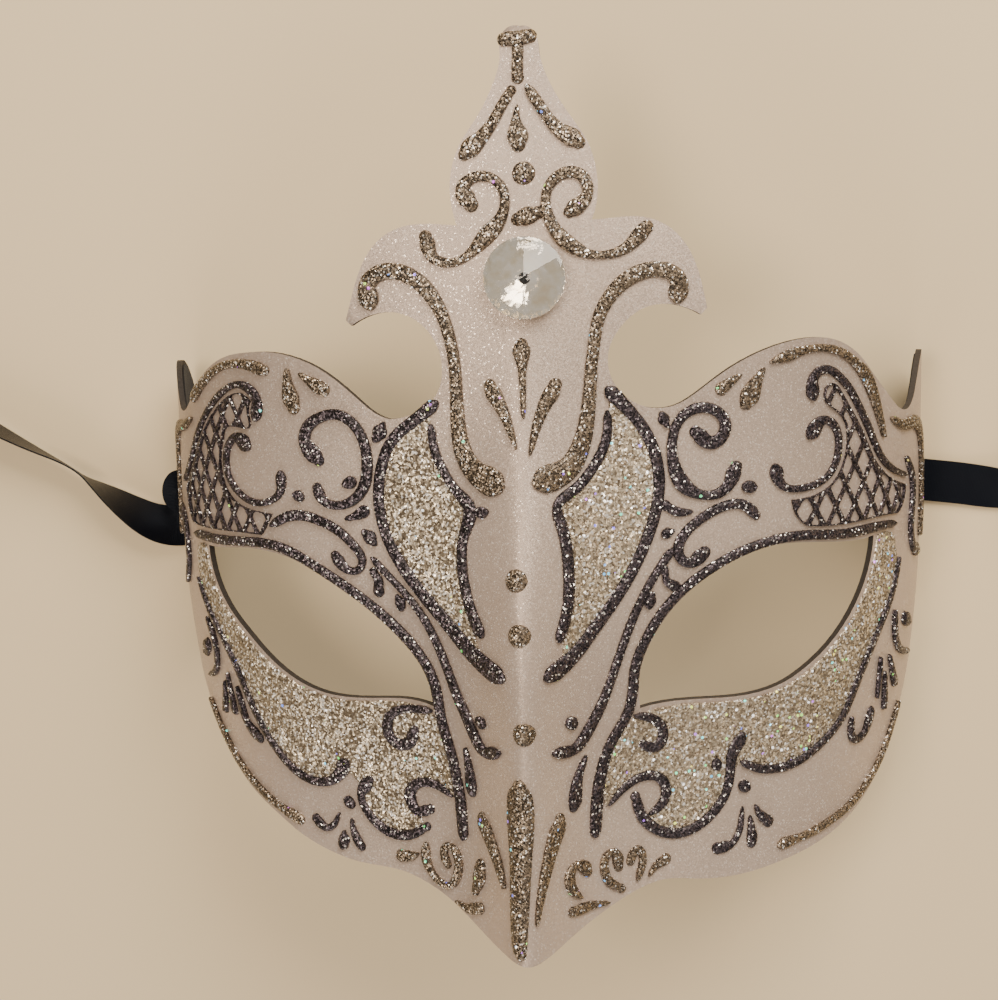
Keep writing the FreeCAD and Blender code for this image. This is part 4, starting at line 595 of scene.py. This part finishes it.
def addRibbonFold():
    # the slack of the left ribbon is tucked back in a flat fold behind the temple
    bpy.ops.mesh.primitive_circle_add(vertices=fold["corners"], radius=1, fill_type="TRIFAN")
    piece = bpy.context.object
    piece.name = "ribbon_fold_left"
    lean = math.radians(fold["lean"])
    for vertex in piece.data.vertices:
        x, y = vertex.co.x * fold["half"][0], vertex.co.y * fold["half"][1]
        bulge = fold["bulge"] * math.cos(vertex.co.length * math.pi)
        vertex.co = Vector(fold["place"]) + Vector((x * math.cos(lean), y, -x * math.sin(lean) + bulge))
    applyModifier(piece, "SOLIDIFY", thickness=fold["wall"])
    piece.data.materials.append(finishes["satin"])
    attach(piece, "root")


addCamera()
addLamps()
print("camera and lamps placed", len(lamps))
for side, route in ribbonRoutes.items():
    makeRibbon(side, route)


# Shell, lining and the raised work

merge = 0.000002  # corners closer than this are one in a CAD node's loose triangles


def copyOf(name, label):
    source = cadNodes[name]
    piece = source.copy()
    piece.data = source.data.copy()
    piece.name = label
    bpy.context.collection.objects.link(piece)
    piece.data.materials.clear()
    shape = bmesh.new()
    shape.from_mesh(piece.data)
    bmesh.ops.remove_doubles(shape, verts=shape.verts, dist=merge)
    shape.to_mesh(piece.data)
    shape.free()
    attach(piece, "root")
    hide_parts(name)
    return piece


# the front ends where the surface bends by more than the turn, at the sheet's cut edge
front = {"facing": 0.3, "turn": 38, "smooth": 35}


def paintShell():
    piece = copyOf("mask_shell", "mask_shell_painted")
    piece.data.materials.append(finishes["paint"])
    piece.data.materials.append(finishes["edge"])
    shape = bmesh.new()
    shape.from_mesh(piece.data)
    bmesh.ops.recalc_face_normals(shape, faces=shape.faces)
    top = max(shape.faces, key=lambda f: f.calc_center_median().z if f.normal.z > front["facing"] else -1)
    painted, waiting = {top}, [top]
    while waiting:
        face = waiting.pop()
        for edge in face.edges:
            for other in edge.link_faces:
                if other not in painted and other.normal.angle(face.normal) < math.radians(front["turn"]):
                    painted.add(other)
                    waiting.append(other)
    for face in shape.faces:
        face.material_index = 0 if face in painted else 1
    area = sum(f.calc_area() for f in painted)
    shape.to_mesh(piece.data)
    shape.free()
    makeActive(piece)
    bpy.ops.object.shade_smooth_by_angle(angle=math.radians(front["smooth"]))
    print("shell front area", round(area * 1e4, 1), "square centimetres")
    return piece


shell = paintShell()
shellTree = BVHTree.FromObject(shell, bpy.context.evaluated_depsgraph_get())

# voxel and smoothing shape the glue, grain is the height of its flakes, and sink is how deep it is seated
raised = {"voxel": 0.00022, "sink": 0.00005, "reach": 0.00062, "grain": 0.00017, "level": 0.35}
net = {"voxel": 0.00020, "sink": 0.00045, "reach": 0.00062, "grain": 0.00016, "level": 1.7}
film = {"voxel": 0.00026, "sink": 0.00030, "reach": 0.0002, "grain": 0.00026, "level": 0.35}
flakeSize = {"line": 0.00042, "film": 0.00060}
smoothing = {"factor": 0.5, "iterations": 2}


def seatOnShell(piece, reach, sink):
    # the underside of a glitter line or film goes down into the paint
    for vertex in piece.data.vertices:
        place, normal, _, distance = shellTree.find_nearest(vertex.co)
        if distance < reach:
            vertex.co = place - normal * sink


grainTexture = bpy.data.textures.new("gluedFlakes", "VORONOI")
grainTexture.noise_scale = flakeSize["line"]
filmTexture = bpy.data.textures.new("filmFlakes", "VORONOI")
filmTexture.noise_scale = flakeSize["film"]
filmTexture.distance_metric = "MANHATTAN"


def islandsOf(shape):
    # groups of joined vertices, taken in the mesh's own order so that each run is the same
    seen = set()
    islands = []
    for first in shape.verts:
        if first in seen:
            continue
        seen.add(first)
        found, members = [first], []
        while found:
            vertex = found.pop()
            members.append(vertex)
            for edge in vertex.link_edges:
                other = edge.other_vert(vertex)
                if other not in seen:
                    seen.add(other)
                    found.append(other)
        islands.append(members)
    return islands


def travelFrom(start, limit=1.0):
    # how far each vertex is from the start along the line's own surface
    far, queue, order = {start: 0.0}, [(0.0, 0, start)], 0
    while queue:
        reached, _, vertex = heapq.heappop(queue)
        if reached > far[vertex]:
            continue
        for edge in vertex.link_edges:
            other = edge.other_vert(vertex)
            longer = reached + edge.calc_length()
            if longer < far.get(other, limit):
                far[other] = longer
                order += 1
                heapq.heappush(queue, (longer, order, other))
    return far


# a round drop of glue, let down onto the shell from the height over it
drop = {"radius": 0.0024, "height": 0.00085, "sink": 0.0002, "over": 0.004, "round": 32, "upright": 16}


def addDrop(shape, centre, radius):
    foot, out, _, _ = shellTree.find_nearest(centre)
    side = Vector((0, 1, 0)).cross(out).normalized()
    up = out.cross(side)
    ball = bmesh.ops.create_uvsphere(shape, u_segments=drop["round"], v_segments=drop["upright"], radius=1)
    for vertex in ball["verts"]:
        a, b, c = vertex.co
        above = foot + (side * a + up * b) * radius + out * drop["over"]
        hit, _, _, _ = shellTree.ray_cast(above, -out)
        ground = hit or (above - out * drop["over"])
        vertex.co = ground + out * ((drop["height"] if c > 0 else drop["sink"]) * c)


# lengths along a line: the tip and the span that are measured, and the lines that take drops
ends = {"tip": 0.0013, "span": 0.0026, "least": 0.0013, "most": 0.0031, "longest": 0.046,
        "shortest": 0.0062, "swell": 0.76, "ahead": 0.0004, "petal": 0.22}


def middleOf(places):
    return sum(places, Vector()) / len(places)


def dropsFor(members):
    reach = [max(v.co[i] for v in members) - min(v.co[i] for v in members) for i in range(3)]
    if max(reach) > ends["longest"]:
        return []
    first = travelFrom(members[0])
    start = max(first, key=first.get)
    fromStart = travelFrom(start)
    finish = max(fromStart, key=fromStart.get)
    if fromStart[finish] > ends["longest"]:
        return []
    if fromStart[finish] < ends["shortest"]:
        return [(middleOf([v.co for v in members]), ends["petal"] * sum(sorted(reach)[1:]))]
    drops = []
    for travel in (fromStart, travelFrom(finish, 2 * ends["span"])):
        near = [v.co for v in travel if travel[v] < ends["tip"]]
        beyond = [v.co for v in travel if ends["tip"] < travel[v] < ends["span"]]
        if not beyond:
            continue
        middle = middleOf(near)
        way = (middleOf(beyond) - middle).normalized()
        _, out, _, _ = shellTree.find_nearest(middle)
        across = out.cross(way).normalized()
        spread = [(place - middle).dot(across) for place in near]
        width = max(spread) - min(spread)
        if ends["least"] < width < ends["most"]:
            drops.append((middle + way * ends["ahead"], width * ends["swell"]))
    return drops


def swellEnds(piece):
    # a blunt end of a curl is a fuller drop of glue than the line itself
    shape = bmesh.new()
    shape.from_mesh(piece.data)
    drops = [found for members in islandsOf(shape) for found in dropsFor(members)]
    for middle, radius in drops:
        addDrop(shape, middle, radius)
    shape.to_mesh(piece.data)
    shape.free()
    return len(drops)


def grainPiece(piece, values, texture, finish):
    applyModifier(piece, "REMESH", mode="VOXEL", voxel_size=values["voxel"], adaptivity=0.0)
    applyModifier(piece, "SMOOTH", **smoothing)
    applyModifier(piece, "DISPLACE", texture=texture, texture_coords="LOCAL",
                  strength=values["grain"], mid_level=values["level"])
    piece.data.materials.clear()
    piece.data.materials.append(finishes[finish])
    makeActive(piece)
    bpy.ops.object.shade_smooth()
    return len(piece.data.polygons)


def raiseLine(name, finish):
    piece = copyOf(name, name + "_glitter")
    values = net if name.startswith("net") else raised
    seatOnShell(piece, values["reach"], values["sink"])
    if values is raised:
        swollen = swellEnds(piece)
        print(name, "swollen ends", swollen)
    return grainPiece(piece, values, grainTexture, finish)


def layFilm(name):
    piece = copyOf(name, name + "_film")
    seatOnShell(piece, film["reach"], film["sink"])
    return grainPiece(piece, film, filmTexture, "panel")


def makeDots():
    source = bmesh.new()
    source.from_mesh(cadNodes["silver_dots"].data)
    bmesh.ops.remove_doubles(source, verts=source.verts, dist=merge)
    centres = [middleOf([v.co for v in members]) for members in islandsOf(source)]
    source.free()
    shape = bmesh.new()
    for centre in centres:
        addDrop(shape, centre, drop["radius"])
    piece = finishMesh(shape, "silver_dots_glitter")
    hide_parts("silver_dots")
    return grainPiece(piece, raised, grainTexture, "silver")


# Crystal: a pointed front and a pointed back, both cut, with a mirror coat behind

# a ring's corners, its shares of the radius and of the height, and its turn in corners
cutRings = {"inner": (12, 0.78, 0.34, 0.0), "outer": (24, 0.92, 0.12, 0.0), "girdle": (24, 1.0, 0.0, 0.5),
            "deep": (24, 0.80, 0.74, 0.0), "pavilion": (12, 0.52, 0.40, 0.0), "core": (12, 0.10, 0.04, 0.5)}
cut = {"blunt": 0.985, "rim": 0.98, "coat": 0.00004, "coatWall": 0.00006}


def crystalFrame():
    pad, stone = cadNodes["crystal_pad"].data.vertices, cadNodes["crystal"].data.vertices
    low = middleOf([v.co for v in pad])
    out = (middleOf([v.co for v in stone]) - low).normalized()
    rises = [(v.co - low).dot(out) for v in stone]
    radii = [((v.co - low) - out * rise).length for v, rise in zip(stone, rises)]
    widest = max(radii)
    rim = [rise for rise, radius in zip(rises, radii) if radius > cut["rim"] * widest]
    side = Vector((0, 1, 0)).cross(out).normalized()
    return {"low": low, "out": out, "side": side, "up": out.cross(side), "radius": widest,
            "back": min(rises), "girdleLow": min(rim), "girdleHigh": max(rim), "point": max(rises)}


def ringOf(shape, axes, name, base, height):
    count, radius, share, turn = cutRings[name]
    rise = base + share * height
    ring = []
    for k in range(count):
        angle = 2 * math.pi * (k + turn) / count
        flat = axes["side"] * math.cos(angle) + axes["up"] * math.sin(angle)
        ring.append(shape.verts.new(axes["low"] + flat * radius * axes["radius"] + axes["out"] * rise))
    return ring


def bridge(shape, few, many):
    # two rings, the second with the same count or twice as many
    double = len(many) > len(few)
    for k in range(len(few)):
        after = (k + 1) % len(few)
        if double:
            middle, last = many[(2 * k + 1) % len(many)], many[(2 * k + 2) % len(many)]
            shape.faces.new([few[k], many[2 * k], middle])
            shape.faces.new([few[k], middle, few[after]])
            shape.faces.new([few[after], middle, last])
        else:
            shape.faces.new([few[k], many[k], few[after]])
            shape.faces.new([few[after], many[k], many[after]])


def fanTo(shape, ring, point):
    return [shape.faces.new([point, ring[k], ring[(k + 1) % len(ring)]]) for k in range(len(ring))]


def addBack(shape, axes, shift):
    # the cut back from the girdle to its point, returned as the girdle's ring and the faces at the point
    back = axes["back"] + shift
    deep = axes["girdleLow"] - axes["back"]
    rim = ringOf(shape, axes, "girdle", axes["girdleLow"] + shift, 0.0)
    above = rim
    for name in ("deep", "pavilion", "core"):
        ring = ringOf(shape, axes, name, back, deep)
        bridge(shape, ring, above)
        above = ring
    point = shape.verts.new(axes["low"] + axes["out"] * back)
    return rim, fanTo(shape, above, point)


def makeCrystal():
    axes = crystalFrame()
    shape = bmesh.new()
    crown = axes["point"] - axes["girdleHigh"]
    tip = shape.verts.new(axes["low"] + axes["out"] * (axes["girdleHigh"] + cut["blunt"] * crown))
    inner = ringOf(shape, axes, "inner", axes["girdleHigh"], crown)
    outer = ringOf(shape, axes, "outer", axes["girdleHigh"], crown)
    high = ringOf(shape, axes, "girdle", axes["girdleHigh"], 0.0)
    fanTo(shape, inner, tip)
    bridge(shape, inner, outer)
    bridge(shape, outer, high)
    rim, _ = addBack(shape, axes, 0.0)
    bridge(shape, high, rim)
    piece = finishMesh(shape, "crystal_cut")
    piece.data.materials.append(finishes["crystal"])
    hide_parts("crystal")
    print("crystal cut, radius", round(axes["radius"] * 1000, 2))
    return axes


def makeCoat(axes):
    # a mirror skin just behind the cut back, with black at its point as a painted dark reflection
    shape = bmesh.new()
    _, paintedDarkCentre = addBack(shape, axes, -cut["coat"])
    # the faces at the point take black flock, a painted dark centre
    for face in paintedDarkCentre:
        face.material_index = 1
    piece = finishMesh(shape, "crystal_coat")
    applyModifier(piece, "SOLIDIFY", thickness=cut["coatWall"], offset=-1)
    piece.data.materials.append(finishes["foil"])
    piece.data.materials.append(finishes["flock"])


# Each CAD node gets its finish, and most are made again with more detail

def setFinish(name, finish):
    node = cadNodes[name]
    for slot in node.material_slots:
        slot.material = finishes[finish]
    if not node.material_slots:
        node.data.materials.append(finishes[finish])


faces = makeDots()
for name in sorted(cadNodes):
    if name == "silver_dots":
        continue
    if name.startswith("silver_"):
        faces += raiseLine(name, "silver")
    elif "panel" in name:
        faces += layFilm(name)
    elif not any(word in name for word in ("shell", "lining", "crystal", "ribbon")):
        faces += raiseLine(name, "pewter")
print("raised lines and films", faces, "faces")

makeCoat(makeCrystal())
addRibbonFold()
plainFinishes = {"inner_lining": "flock", "crystal_foil": "foil", "crystal_pad": "glue"}
for side in ribbonRoutes:
    plainFinishes["ribbon_root_" + side] = "satin"
    plainFinishes["ribbon_patch_" + side] = "felt"
    plainFinishes["ribbon_tie_" + side] = "thread"
for name, finish in plainFinishes.items():
    setFinish(name, finish)
print("plain pieces finished", len(plainFinishes))


def addFloor():
    bpy.ops.mesh.primitive_plane_add(size=room["floorSize"], location=(0, 0, room["floorHeight"]))
    floor = bpy.context.object
    floor.name = "floor"
    material, _, shader = startMaterial("paleFloor")
    setSockets(shader, {"Base Color": (*room["floor"], 1), "Roughness": room["floorRoughness"]})
    floor.data.materials.append(material)


addFloor()
